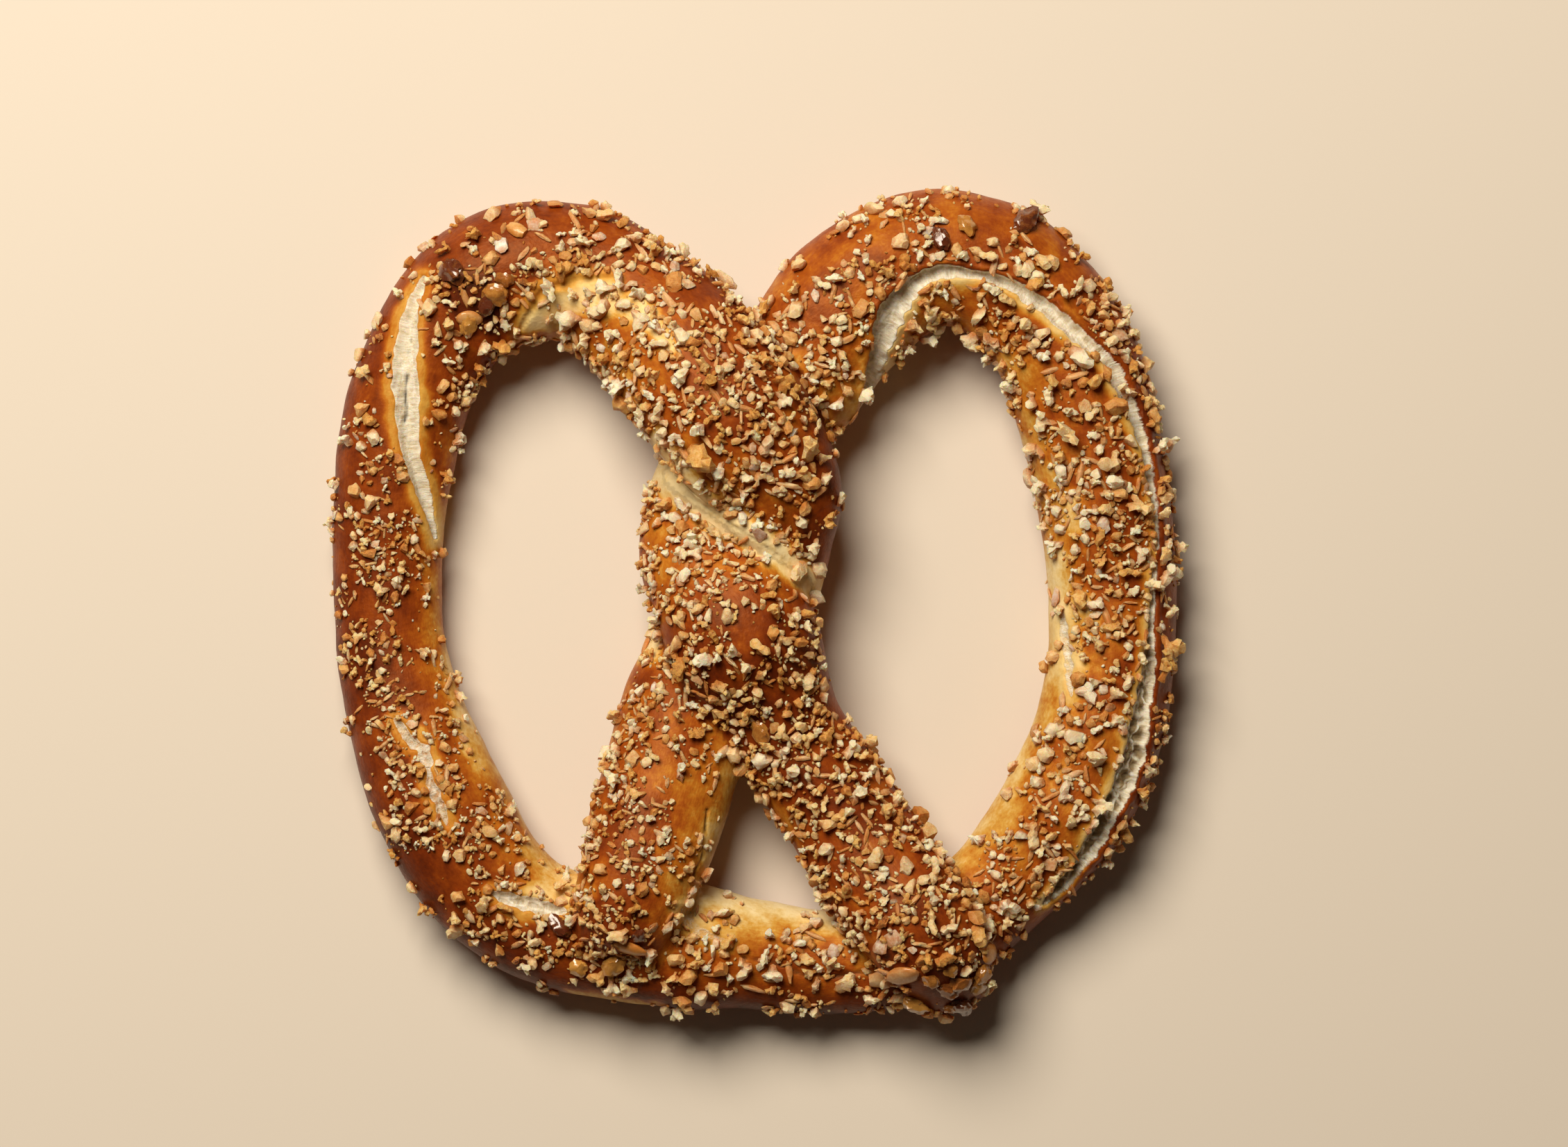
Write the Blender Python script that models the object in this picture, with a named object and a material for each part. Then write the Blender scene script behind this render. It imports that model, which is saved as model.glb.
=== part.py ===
"""A soft pretzel: one hand-rolled rope of dough, knotted, baked flat on a tray, and covered with crumb.

The whole pretzel is one solid. The rope is swept along its own route, its crossings are fused as dough
fuses in the oven, the crust's splits are carved into it, and the largest crumbs of its nut and sugar topping
are joined to it. X runs to the right and Y away from the two rope ends, both along the tray. Z points up, and
the tray is at Z = 0.
"""

import math
import random

import bmesh
import bpy
from mathutils import Matrix, Vector, noise

MM = 0.001

# The rope's route in millimetres: x, y, half of its width, and how far its underside is lifted off the tray.
# It starts at the left rope end, passes over the knot, runs round the left loop, the foot and the right loop,
# passes under the knot, and ends at the right rope end.
ROPE = (
    # Left end, pressed onto the foot, and the left arm that goes up into the knot.
    (-24.5, -63.0, 4.2, 8.0),
    (-24.0, -59.0, 8.1, 9.5),
    (-22.5, -52.5, 9.8, 9.5),
    (-18.7, -41.0, 11.4, 6.0),
    (-15.0, -28.5, 11.8, 2.5),
    (-12.0, -18.0, 11.8, 0.5),
    # The knot's lower crossing, where this arm lies underneath, and its upper crossing, where it lies on top.
    (-8.5, -10.0, 11.2, 0.0),
    (-4.0, -3.0, 10.8, 0.0),
    (0.5, 4.0, 10.6, 2.0),
    (2.5, 12.0, 10.8, 5.5),
    (3.0, 21.0, 11.9, 8.5),
    (-4.0, 32.0, 13.8, 9.0),
    (-13.0, 43.5, 13.8, 6.0),
    (-23.0, 53.5, 12.5, 2.5),
    # Left shoulder and left loop.
    (-31.5, 58.5, 12.0, 0.5),
    (-40.0, 58.5, 12.4, 0.0),
    (-48.0, 56.0, 12.2, 0.0),
    (-54.5, 50.0, 11.2, 0.0),
    (-59.0, 42.0, 10.8, 0.0),
    (-62.5, 32.0, 10.7, 0.0),
    (-64.5, 18.0, 10.1, 0.0),
    (-65.0, 4.0, 9.6, 0.0),
    (-64.0, -10.0, 9.8, 0.0),
    (-60.5, -23.0, 10.8, 0.0),
    (-55.0, -36.0, 11.8, 0.0),
    (-48.5, -47.0, 11.3, 0.0),
    # Foot, the stretch that both rope ends rest on.
    (-41.0, -54.0, 10.7, 0.0),
    (-32.0, -57.5, 10.6, 0.0),
    (-21.5, -59.0, 10.7, 0.0),
    (-11.0, -60.0, 11.1, 0.0),
    (0.0, -61.5, 9.7, 0.0),
    (13.0, -62.8, 9.1, 0.0),
    (25.0, -61.5, 9.4, 0.0),
    (35.0, -56.0, 9.5, 0.0),
    # Right loop and right shoulder.
    (44.0, -48.0, 9.8, 0.0),
    (53.0, -37.0, 11.4, 0.0),
    (59.0, -25.0, 11.6, 0.0),
    (62.0, -11.0, 11.3, 0.0),
    (62.5, 3.0, 11.3, 0.0),
    (61.0, 17.0, 11.8, 0.0),
    (58.5, 31.0, 12.1, 0.0),
    (54.5, 44.0, 12.3, 0.0),
    (48.5, 53.5, 12.0, 0.0),
    (40.5, 59.5, 12.0, 0.0),
    (31.0, 61.0, 12.2, 0.0),
    (22.0, 57.5, 12.8, 0.0),
    (14.5, 51.0, 12.9, 0.0),
    (8.0, 42.0, 12.5, 0.0),
    # Under the upper crossing, over the lower one, and down the right arm to the right end.
    (1.5, 33.0, 11.7, 0.0),
    (-5.0, 24.5, 11.2, 0.0),
    (-9.0, 16.0, 11.0, 1.0),
    (-8.5, 8.0, 12.0, 3.5),
    (-4.5, -0.5, 13.3, 6.0),
    (-1.2, -8.4, 13.2, 6.5),
    (2.0, -15.7, 11.4, 5.5),
    (5.8, -23.3, 10.3, 5.0),
    (13.5, -34.0, 10.2, 4.5),
    (20.0, -44.5, 10.8, 5.0),
    (27.0, -54.0, 10.6, 8.5),
    (32.0, -61.5, 9.3, 9.0),
    (35.0, -67.5, 6.6, 7.0),
    (36.5, -70.5, 3.7, 6.0),
)

STEPS_PER_SPAN = 6  # rings of the sweep between two points of the route
RING_SIDES = 28
SECTION_HEIGHT = 0.84  # the rope's height over its width
TRAY_SETTLING = 1.1  # how far the soft dough has sunk onto the tray, mm

# The splits where the crust has burst open: each is a depth, then x, y and half of the width along its
# middle, in millimetres.
SPLITS = {
    "left loop": (
        1.7,
        (-58.4, 57.1, 0.8),
        (-61.3, 46.6, 2.0),
        (-61.1, 34.8, 2.3),
        (-59.5, 23.8, 1.6),
        (-56.6, 13.0, 0.5),
    ),
    "right loop": (
        1.9,
        (15.2, 27.5, 0.6),
        (21.0, 42.9, 1.8),
        (25.1, 53.1, 2.4),
        (32.4, 57.4, 1.7),
        (42.4, 56.4, 1.3),
        (50.9, 51.6, 1.8),
        (63.3, 40.2, 1.9),
        (67.6, 28.4, 1.4),
        (69.4, 15.0, 0.7),
        (68.3, -5.0, 0.9),
        (67.5, -18.0, 1.7),
        (64.4, -31.0, 1.9),
        (56.0, -45.6, 1.8),
        (50.3, -52.1, 0.5),
    ),
    "lower left": (
        1.0,
        (-63.0, -20.5, 0.6),
        (-59.5, -25.0, 1.4),
        (-56.0, -33.0, 1.2),
        (-54.5, -38.0, 0.4),
    ),
    "foot, left": (1.2, (-46.0, -50.5, 0.6), (-40.0, -52.3, 1.4), (-34.5, -53.6, 0.8)),
    "foot, middle": (1.0, (-12.5, -54.5, 1.0), (-4.0, -59.5, 1.3), (4.0, -62.2, 0.6)),
    "left arm": (1.1, (-6.8, -26.7, 0.8), (-8.0, -34.0, 1.2), (-10.5, -43.5, 0.6)),
    "left shoulder's fold": (
        1.6,
        (-42.5, 46.0, 0.8),
        (-38.5, 53.0, 1.3),
        (-31.5, 56.8, 1.4),
        (-26.5, 56.6, 0.6),
    ),
}
SPLIT_STEPS_PER_SPAN = 4  # stretches between two points of a split's line
SPLIT_FACES_UP = 0.05  # a split is carved only where the surface's normal points up at least this much

FUSING_VOXEL = 1.1  # the fineness, in mm, at which the rope's crossings are fused
FUSING_SMOOTHING = 3  # smoothing passes that round the seams between the strands
DOUGH_TRIANGLES = 4600
TRAY_BAND = 0.45  # dough within this height of the tray lies flat on it, mm
DOUGH_BUMP = 0.35  # how uneven the crust is, mm
DOUGH_BUMP_SIZE = 9.0  # how far apart its humps are, mm

# The topping: crumbs stand on the upper crust, the largest first.
CRUMB_SEED = 11
CRUMB_COUNT = 150
CRUMB_TRIES = 60  # places tried for each crumb before the rest are given up
CRUMB_RADII = (1.4, 2.6)  # smallest and largest half length of a crumb, mm
CRUMB_SIZE_FALL = 0.6  # below 1 the sizes fall off fast from the largest, so most crumbs are small
CRUMB_WIDTHS = (0.62, 0.9)  # a crumb's width over its length, least and greatest
CRUMB_THICKNESSES = (0.62, 0.8)  # a crumb's thickness over its length, least and greatest
CRUMB_LEAN = 0.5  # how far a crumb may tip off the crust, radians
CRUMB_UNEVENNESS = (0.88, 1.1)  # each corner's distance from the middle over that of a smooth lump
CRUMB_BEDDING = 0.25  # the share of a crumb's half length by which its middle stands proud of the crust
CRUMB_SPACING = 1.35  # the least distance between two crumbs over the sum of their half lengths
CRUMB_FACES_UP = -0.1  # crumbs lie where the crust's normal points up more than this
CRUMB_CLEAR_OF_SPLIT = 1.0  # mm between a crumb and a split's edge
CRUMB_OVERHANG = 0.5  # the share of a crumb's half length that may lean into that clearance
CRUMB_CLEAR_OF_TRAY = 0.8  # mm between a crumb and the tray

CRUST_COLOUR = (0.48, 0.19, 0.045, 1.0)
CRUST_ROUGHNESS = 0.5


def clear_scene():
    for obj in list(bpy.data.objects):
        bpy.data.objects.remove(obj)


def smooth_route(points, steps):
    """Samples a Catmull-Rom curve through points, which may have any number of values each."""
    rows = [Vector(p) for p in points]
    rows = [2 * rows[0] - rows[1], *rows, 2 * rows[-1] - rows[-2]]
    sampled = []
    for a, b, c, d in zip(rows, rows[1:], rows[2:], rows[3:]):
        for step in range(steps):
            t = step / steps
            square = 2 * a - 5 * b + 4 * c - d
            cube = 3 * b - a - 3 * c + d
            sampled.append(0.5 * (2 * b + (c - a) * t + square * t**2 + cube * t**3))
    sampled.append(rows[-2])
    return sampled


def section_point(centre, across, half_width, lift, angle):
    """One point of the rope's section: an ellipse with a flat foot, on the tray or lifted off it."""
    half_height = SECTION_HEIGHT * half_width
    middle = half_height - TRAY_SETTLING + lift
    side = half_width * math.cos(angle)
    height = max(middle + half_height * math.sin(angle), 0.0)
    return Vector((centre.x + across.x * side, centre.y + across.y * side, height)) * MM


def rope_object():
    """Sweeps the section along the route, with the two ends closed."""
    route = smooth_route(ROPE, STEPS_PER_SPAN)
    mesh = bmesh.new()
    rings = []
    for index, (x, y, half_width, lift) in enumerate(route):
        before = route[max(index - 1, 0)]
        after = route[min(index + 1, len(route) - 1)]
        along = Vector((after[0] - before[0], after[1] - before[1])).normalized()
        across = Vector((along.y, -along.x))
        centre = Vector((x, y))
        angles = [2 * math.pi * side / RING_SIDES for side in range(RING_SIDES)]
        rings.append([mesh.verts.new(section_point(centre, across, half_width, lift, a)) for a in angles])
    for ring, following in zip(rings, rings[1:]):
        for side in range(RING_SIDES):
            after = (side + 1) % RING_SIDES
            mesh.faces.new((ring[side], ring[after], following[after], following[side]))
    mesh.faces.new(reversed(rings[0]))
    mesh.faces.new(rings[-1])
    bmesh.ops.recalc_face_normals(mesh, faces=mesh.faces)
    return object_of("pretzel", mesh)


def object_of(name, mesh):
    data = bpy.data.meshes.new(name)
    mesh.to_mesh(data)
    mesh.free()
    obj = bpy.data.objects.new(name, data)
    bpy.context.scene.collection.objects.link(obj)
    return obj


def apply_modifiers(obj):
    """Makes the evaluated mesh the object's own."""
    bpy.context.view_layer.update()
    graph = bpy.context.evaluated_depsgraph_get()
    finished = bpy.data.meshes.new_from_object(obj.evaluated_get(graph))
    obj.modifiers.clear()
    obj.data = finished


def fuse_crossings(obj):
    """Joins the strands where they lie on each other, and rounds the seams a little, as dough does."""
    remesh = obj.modifiers.new("fuse", "REMESH")
    remesh.mode = "VOXEL"
    remesh.voxel_size = FUSING_VOXEL * MM
    smooth = obj.modifiers.new("round", "SMOOTH")
    smooth.iterations = FUSING_SMOOTHING
    apply_modifiers(obj)


def split_segments():
    """Every split as stretches: start, end, half widths at both, and depth, in metres."""
    segments = []
    for depth, *points in SPLITS.values():
        route = smooth_route(points, SPLIT_STEPS_PER_SPAN)
        for a, b in zip(route, route[1:]):
            start = Vector(a[:2]) * MM
            end = Vector(b[:2]) * MM
            segments.append((start, end, a[2] * MM, b[2] * MM, depth * MM))
    return segments


def nearest_split(point, segments):
    """The distance to the nearest split's edge, the place across the split from 0 to 1, and its depth."""
    nearest = (math.inf, 1.0, 0.0)
    flat = Vector((point.x, point.y))
    for start, end, first_width, last_width, depth in segments:
        span = end - start
        share = min(max((flat - start).dot(span) / span.length_squared, 0.0), 1.0)
        half_width = first_width + (last_width - first_width) * share
        distance = (flat - start - span * share).length
        if distance - half_width < nearest[0]:
            nearest = (distance - half_width, distance / half_width, depth)
    return nearest


def shape_crust(obj, segments):
    """Carves the splits and gives the crust its slight unevenness, then lays the foot flat on the tray."""
    mesh = obj.data
    moves = []
    for vertex in mesh.vertices:
        normal = vertex.normal
        move = DOUGH_BUMP * MM * noise.noise(vertex.co / (DOUGH_BUMP_SIZE * MM))
        if normal.z > SPLIT_FACES_UP:
            _, across, depth = nearest_split(vertex.co, segments)
            if across < 1.0:
                move -= depth * (1.0 - across**2)
        moves.append(normal * move)
    for vertex, move in zip(mesh.vertices, moves):
        vertex.co += move
    lay_on_tray(mesh)


def lay_on_tray(mesh):
    for vertex in mesh.vertices:
        if vertex.co.z < TRAY_BAND * MM:
            vertex.co.z = 0.0


def thin_out(obj, triangles):
    """Reduces the dough to about that many triangles, most of them where it curves."""
    obj.data.calc_loop_triangles()
    decimate = obj.modifiers.new("thin out", "DECIMATE")
    decimate.ratio = triangles / len(obj.data.loop_triangles)
    apply_modifiers(obj)
    lay_on_tray(obj.data)


def crumb_places(obj, segments):
    """Seeded random places on the upper crust, the largest first: point, normal and half length."""
    draw = random.Random(CRUMB_SEED)
    mesh = obj.data
    mesh.calc_loop_triangles()
    triangles = [t for t in mesh.loop_triangles if t.normal.z > CRUMB_FACES_UP]
    areas = [t.area for t in triangles]
    smallest, largest = CRUMB_RADII
    places = []
    tries = 0
    while len(places) < CRUMB_COUNT and tries < CRUMB_TRIES * CRUMB_COUNT:
        tries += 1
        triangle = draw.choices(triangles, weights=areas)[0]
        u, v = draw.random(), draw.random()
        if u + v > 1:
            u, v = 1 - u, 1 - v
        a, b, c = (mesh.vertices[i].co for i in triangle.vertices)
        point = a + (b - a) * u + (c - a) * v
        share = len(places) / CRUMB_COUNT
        half_length = (largest + (smallest - largest) * share**CRUMB_SIZE_FALL) * MM
        if point.z < half_length + CRUMB_CLEAR_OF_TRAY * MM:
            continue
        clearance = half_length * (1 - CRUMB_OVERHANG) + CRUMB_CLEAR_OF_SPLIT * MM
        if nearest_split(point, segments)[0] < clearance:
            continue
        if any((point - p).length < CRUMB_SPACING * (half_length + r) for p, _, r in places):
            continue
        places.append((point, triangle.normal.copy(), half_length))
    return places


def crumb_object(index, place, draw):
    """One crumb: a lump of twenty faces, uneven in its axes, turned at random and bedded in the crust."""
    point, normal, half_length = place
    mesh = bmesh.new()
    bmesh.ops.create_icosphere(mesh, subdivisions=1, radius=half_length)
    axes = (1.0, draw.uniform(*CRUMB_WIDTHS), draw.uniform(*CRUMB_THICKNESSES))
    turn = Matrix.Rotation(draw.uniform(0, 2 * math.pi), 3, "Z")
    tilt = normal.to_track_quat("Z", "Y").to_matrix()
    lean = Matrix.Rotation(draw.uniform(-CRUMB_LEAN, CRUMB_LEAN), 3, "X")
    for vertex in mesh.verts:
        scaled = Vector(size * value for size, value in zip(axes, vertex.co))
        scaled *= draw.uniform(*CRUMB_UNEVENNESS)
        vertex.co = point + normal * half_length * CRUMB_BEDDING + tilt @ turn @ lean @ scaled
    return object_of(f"crumb_{index:03d}", mesh)


def join_crumbs(obj, segments):
    """Places the crumbs and fuses them to the dough with one union."""
    draw = random.Random(CRUMB_SEED + 1)
    crumbs = bpy.data.collections.new("crumbs")
    bpy.context.scene.collection.children.link(crumbs)
    for index, place in enumerate(crumb_places(obj, segments)):
        crumb = crumb_object(index, place, draw)
        bpy.context.scene.collection.objects.unlink(crumb)
        crumbs.objects.link(crumb)
    print("crumbs joined to the dough:", len(crumbs.objects))
    union = obj.modifiers.new("join crumbs", "BOOLEAN")
    union.operation = "UNION"
    union.operand_type = "COLLECTION"
    union.collection = crumbs
    union.solver = "MANIFOLD"
    apply_modifiers(obj)
    for crumb in list(crumbs.objects):
        bpy.data.objects.remove(crumb)
    bpy.data.collections.remove(crumbs)


def crust_material():
    material = bpy.data.materials.new("baked crust")
    material.use_nodes = True
    shader = material.node_tree.nodes["Principled BSDF"]
    shader.inputs["Base Color"].default_value = CRUST_COLOUR
    shader.inputs["Roughness"].default_value = CRUST_ROUGHNESS
    shader.inputs["Metallic"].default_value = 0.0
    return material


def centre_outline(obj):
    """Moves the pretzel sideways until the box round its outline is centred on the origin."""
    xs, ys, zs = zip(*(v.co for v in obj.data.vertices))
    shift = Vector((-(max(xs) + min(xs)) / 2, -(max(ys) + min(ys)) / 2, 0.0))
    obj.data.transform(Matrix.Translation(shift))
    obj.data.calc_loop_triangles()
    size = [(max(values) - min(values)) / MM for values in (xs, ys, zs)]
    print("pretzel:", " x ".join(f"{side:.1f}" for side in size), "mm")
    print("triangles:", len(obj.data.loop_triangles))
    print(f"moved by {shift.x / MM:.3f}, {shift.y / MM:.3f} mm to centre its outline")


def main():
    clear_scene()
    pretzel = rope_object()
    fuse_crossings(pretzel)
    segments = split_segments()
    shape_crust(pretzel, segments)
    thin_out(pretzel, DOUGH_TRIANGLES)
    join_crumbs(pretzel, segments)
    pretzel.data.materials.clear()
    pretzel.data.materials.append(crust_material())
    centre_outline(pretzel)


main()
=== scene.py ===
# %% [markdown]
# # A soft pretzel with nut and sugar crumb
#
# This lesson dresses the plain solid of a baked pretzel until it looks like the real one: a burst, egg-washed
# crust in browns and golds, pale bread in its splits, and several thousand crumbs of nut and coarse sugar.
# The solid, its place and its size are fixed and come from the frame. We only add what the eye sees.

# %% Load the frame
import math

import bmesh
import bpy
import numpy as np
from mathutils import Matrix, Vector, noise


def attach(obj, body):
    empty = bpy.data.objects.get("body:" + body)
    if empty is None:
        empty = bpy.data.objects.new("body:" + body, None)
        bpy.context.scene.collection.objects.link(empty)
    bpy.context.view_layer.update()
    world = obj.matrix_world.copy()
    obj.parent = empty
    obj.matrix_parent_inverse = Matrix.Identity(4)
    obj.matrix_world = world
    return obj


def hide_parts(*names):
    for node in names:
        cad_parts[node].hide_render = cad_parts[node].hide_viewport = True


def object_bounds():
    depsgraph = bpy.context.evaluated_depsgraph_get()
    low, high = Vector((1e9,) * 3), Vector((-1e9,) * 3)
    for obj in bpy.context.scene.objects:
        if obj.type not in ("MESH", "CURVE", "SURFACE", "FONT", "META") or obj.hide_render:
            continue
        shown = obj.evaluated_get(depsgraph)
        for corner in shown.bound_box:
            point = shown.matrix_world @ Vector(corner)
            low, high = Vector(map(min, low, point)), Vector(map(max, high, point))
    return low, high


MM = 0.001
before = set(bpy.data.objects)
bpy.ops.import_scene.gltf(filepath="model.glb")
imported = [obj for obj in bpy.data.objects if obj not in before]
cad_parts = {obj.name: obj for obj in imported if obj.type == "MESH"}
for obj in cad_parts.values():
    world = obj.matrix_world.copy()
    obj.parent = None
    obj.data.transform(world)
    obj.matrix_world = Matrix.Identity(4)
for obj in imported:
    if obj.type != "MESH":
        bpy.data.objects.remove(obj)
cad_box = [list(corner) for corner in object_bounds()]
print("the solid's box, in metres:", cad_box)

# %% [markdown]
# ## The rope's route
#
# A pretzel is one rope of dough that is laid in a loop, twisted and folded back on itself. A row of the route
# is a place along that rope in millimetres: x, y, half of its width, and how far its underside is lifted off
# the tray. The rope starts at the left end, climbs into the knot, runs round the left loop, the foot and the
# right loop, and comes back through the knot to the right end. The points are few, because a smooth curve
# through them does the rest.

# %% The route
ROPE = (
    (-24.5, -63.0, 4.2, 8.0),
    (-24.0, -59.0, 8.1, 9.5),
    (-22.5, -52.5, 9.8, 9.5),
    (-18.7, -41.0, 11.4, 6.0),
    (-15.0, -28.5, 11.8, 2.5),
    (-12.0, -18.0, 11.8, 0.5),
    (-8.5, -10.0, 11.2, 0.0),
    (-4.0, -3.0, 10.8, 0.0),
    (0.5, 4.0, 10.6, 2.0),
    (2.5, 12.0, 10.8, 5.5),
    (3.0, 21.0, 11.9, 8.5),
    (-4.0, 32.0, 13.8, 9.0),
    (-13.0, 43.5, 13.8, 6.0),
    (-23.0, 53.5, 12.5, 2.5),
    (-31.5, 58.5, 12.0, 0.5),
    (-40.0, 58.5, 12.4, 0.0),
    (-48.0, 56.0, 12.2, 0.0),
    (-54.5, 50.0, 11.2, 0.0),
    (-59.0, 42.0, 10.8, 0.0),
    (-62.5, 32.0, 10.7, 0.0),
    (-64.5, 18.0, 10.1, 0.0),
    (-65.0, 4.0, 9.6, 0.0),
    (-64.0, -10.0, 9.8, 0.0),
    (-60.5, -23.0, 10.8, 0.0),
    (-55.0, -36.0, 11.8, 0.0),
    (-48.5, -47.0, 11.3, 0.0),
    (-41.0, -54.0, 10.7, 0.0),
    (-32.0, -57.5, 10.6, 0.0),
    (-21.5, -59.0, 10.7, 0.0),
    (-11.0, -60.0, 11.1, 0.0),
    (0.0, -61.5, 9.7, 0.0),
    (13.0, -62.8, 9.1, 0.0),
    (25.0, -61.5, 9.4, 0.0),
    (35.0, -56.0, 9.5, 0.0),
    (44.0, -48.0, 9.8, 0.0),
    (53.0, -37.0, 11.4, 0.0),
    (59.0, -25.0, 11.6, 0.0),
    (62.0, -11.0, 11.3, 0.0),
    (62.5, 3.0, 11.3, 0.0),
    (61.0, 17.0, 11.8, 0.0),
    (58.5, 31.0, 12.1, 0.0),
    (54.5, 44.0, 12.3, 0.0),
    (48.5, 53.5, 12.0, 0.0),
    (40.5, 59.5, 12.0, 0.0),
    (31.0, 61.0, 12.2, 0.0),
    (22.0, 57.5, 12.8, 0.0),
    (14.5, 51.0, 12.9, 0.0),
    (8.0, 42.0, 12.5, 0.0),
    (1.5, 33.0, 11.7, 0.0),
    (-5.0, 24.5, 11.2, 0.0),
    (-9.0, 16.0, 11.0, 1.0),
    (-8.5, 8.0, 12.0, 3.5),
    (-4.5, -0.5, 13.3, 6.0),
    (-1.2, -8.4, 13.2, 6.5),
    (2.0, -15.7, 11.4, 5.5),
    (5.8, -23.3, 10.3, 5.0),
    (13.5, -34.0, 10.2, 4.5),
    (20.0, -44.5, 10.8, 5.0),
    (27.0, -54.0, 10.6, 8.5),
    (32.0, -61.5, 9.3, 9.0),
    (35.0, -67.5, 6.6, 7.0),
    (36.5, -70.5, 3.7, 6.0),
)
ROUTE_SHIFT = (0.309, -0.984)  # mm that centre the solid's outline on the frame's origin
STEPS_PER_SPAN = 8
RING_SIDES = 32
SECTION_HEIGHT = 0.84  # the rope's height over its width
TRAY_SETTLING = 1.1  # mm by which the soft dough has sunk onto the tray
RING_STRIDE = 2  # every second ring is near enough to say where a point lies


def smooth_route(rows, steps):
    """Samples a Catmull-Rom curve through the rows, whatever each row holds."""
    rows = np.array(rows, float)
    rows = np.vstack((2 * rows[0] - rows[1], rows, 2 * rows[-1] - rows[-2]))
    shares = np.arange(steps)[:, None] / steps
    sampled = []
    for a, b, c, d in zip(rows, rows[1:], rows[2:], rows[3:]):
        rise = 2 * a - 5 * b + 4 * c - d
        turn = 3 * b - a - 3 * c + d
        sampled.append(0.5 * (2 * b + (c - a) * shares + rise * shares**2 + turn * shares**3))
    sampled.append(rows[-2:-1])
    return np.vstack(sampled)


route = smooth_route(ROPE, STEPS_PER_SPAN)
route[:, :2] += ROUTE_SHIFT
centre = route[:, :2]
half_width = route[:, 2]
half_height = SECTION_HEIGHT * half_width
centre_height = half_height - TRAY_SETTLING + route[:, 3]
along = np.gradient(centre, axis=0)
along /= np.linalg.norm(along, axis=1)[:, None]
across = np.column_stack((along[:, 1], -along[:, 0]))
length_at = np.concatenate(([0.0], np.cumsum(np.linalg.norm(np.diff(centre, axis=0), axis=1))))
print(f"the rope is {length_at[-1]:.0f} mm long, in {len(route)} rings")

# %% [markdown]
# ## The bare dough
#
# A bevelled curve can't have a flat foot or an oval section that follows its own radius, so the rope is swept
# ring by ring. It then passes through itself at the knot. A voxel remesh turns that crossing into one skin
# with a crease at each seam, which is what the oven does to the real dough.

# %% Small helpers for objects


def deselect_all():
    """Every operator acts on what is selected, and the frame leaves its own objects selected."""
    for obj in bpy.context.selected_objects:
        obj.select_set(False)


def make_active(obj):
    deselect_all()
    obj.select_set(True)
    bpy.context.view_layer.objects.active = obj


def apply_modifier(obj, kind, **settings):
    make_active(obj)
    modifier = obj.modifiers.new(kind.lower(), kind)
    for name, value in settings.items():
        setattr(modifier, name, value)
    bpy.ops.object.modifier_apply(modifier=modifier.name)


def new_object(name, points, faces):
    mesh = bpy.data.meshes.new(name)
    mesh.from_pydata(points, [], faces)
    obj = bpy.data.objects.new(name, mesh)
    bpy.context.scene.collection.objects.link(obj)
    return obj


def points_of(mesh):
    flat = np.empty(len(mesh.vertices) * 3)
    mesh.vertices.foreach_get("co", flat)
    return flat.reshape(-1, 3)


def normals_of(mesh):
    flat = np.empty(len(mesh.vertices) * 3)
    mesh.vertex_normals.foreach_get("vector", flat)
    return flat.reshape(-1, 3)


def store_points(mesh, points):
    mesh.vertices.foreach_set("co", np.asarray(points, np.float32).ravel())
    mesh.update()


def store_values(mesh, name, values):
    """Keeps one number for each vertex, which the materials read by that name."""
    mesh.attributes.new(name, "FLOAT", "POINT").data.foreach_set("value", np.asarray(values, np.float32))


def store_vectors(mesh, name, vectors):
    flat = np.asarray(vectors, np.float32).ravel()
    mesh.attributes.new(name, "FLOAT_VECTOR", "POINT").data.foreach_set("vector", flat)


# %% Sweep the rope and fuse its crossings
FUSING_VOXEL = 0.81  # mm
FUSING_SMOOTHING = 4


def swept_rope():
    angles = 2 * np.pi * np.arange(RING_SIDES) / RING_SIDES
    sideways = half_width[:, None] * np.cos(angles)
    height = np.maximum(centre_height[:, None] + half_height[:, None] * np.sin(angles), 0.0)
    places = centre[:, None, :] + across[:, None, :] * sideways[:, :, None]
    points = np.dstack((places, height)).reshape(-1, 3) * MM
    faces = []
    for ring in range(len(route) - 1):
        for side in range(RING_SIDES):
            a = ring * RING_SIDES + side
            b = ring * RING_SIDES + (side + 1) % RING_SIDES
            faces.append((a, b, b + RING_SIDES, a + RING_SIDES))
    faces.append(tuple(reversed(range(RING_SIDES))))
    faces.append(tuple(range(len(points) - RING_SIDES, len(points))))
    rope = new_object("dough", points.tolist(), faces)
    make_active(rope)
    bpy.ops.object.mode_set(mode="EDIT")
    bpy.ops.mesh.select_all(action="SELECT")
    bpy.ops.mesh.normals_make_consistent(inside=False)
    bpy.ops.object.mode_set(mode="OBJECT")
    return rope


dough = swept_rope()
apply_modifier(dough, "REMESH", mode="VOXEL", voxel_size=FUSING_VOXEL * MM)
apply_modifier(dough, "SMOOTH", iterations=FUSING_SMOOTHING)
print("bare dough:", len(dough.data.vertices), "points")

# %% [markdown]
# ## Where a point lies on the rope
#
# Baking colour, topping and wrinkles all follow the rope, so each point of the skin is told where it is: how
# far along the rope, and how far to its left or right side. At the knot the strand that is nearest wins.

# %% Place every point on the rope


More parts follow.
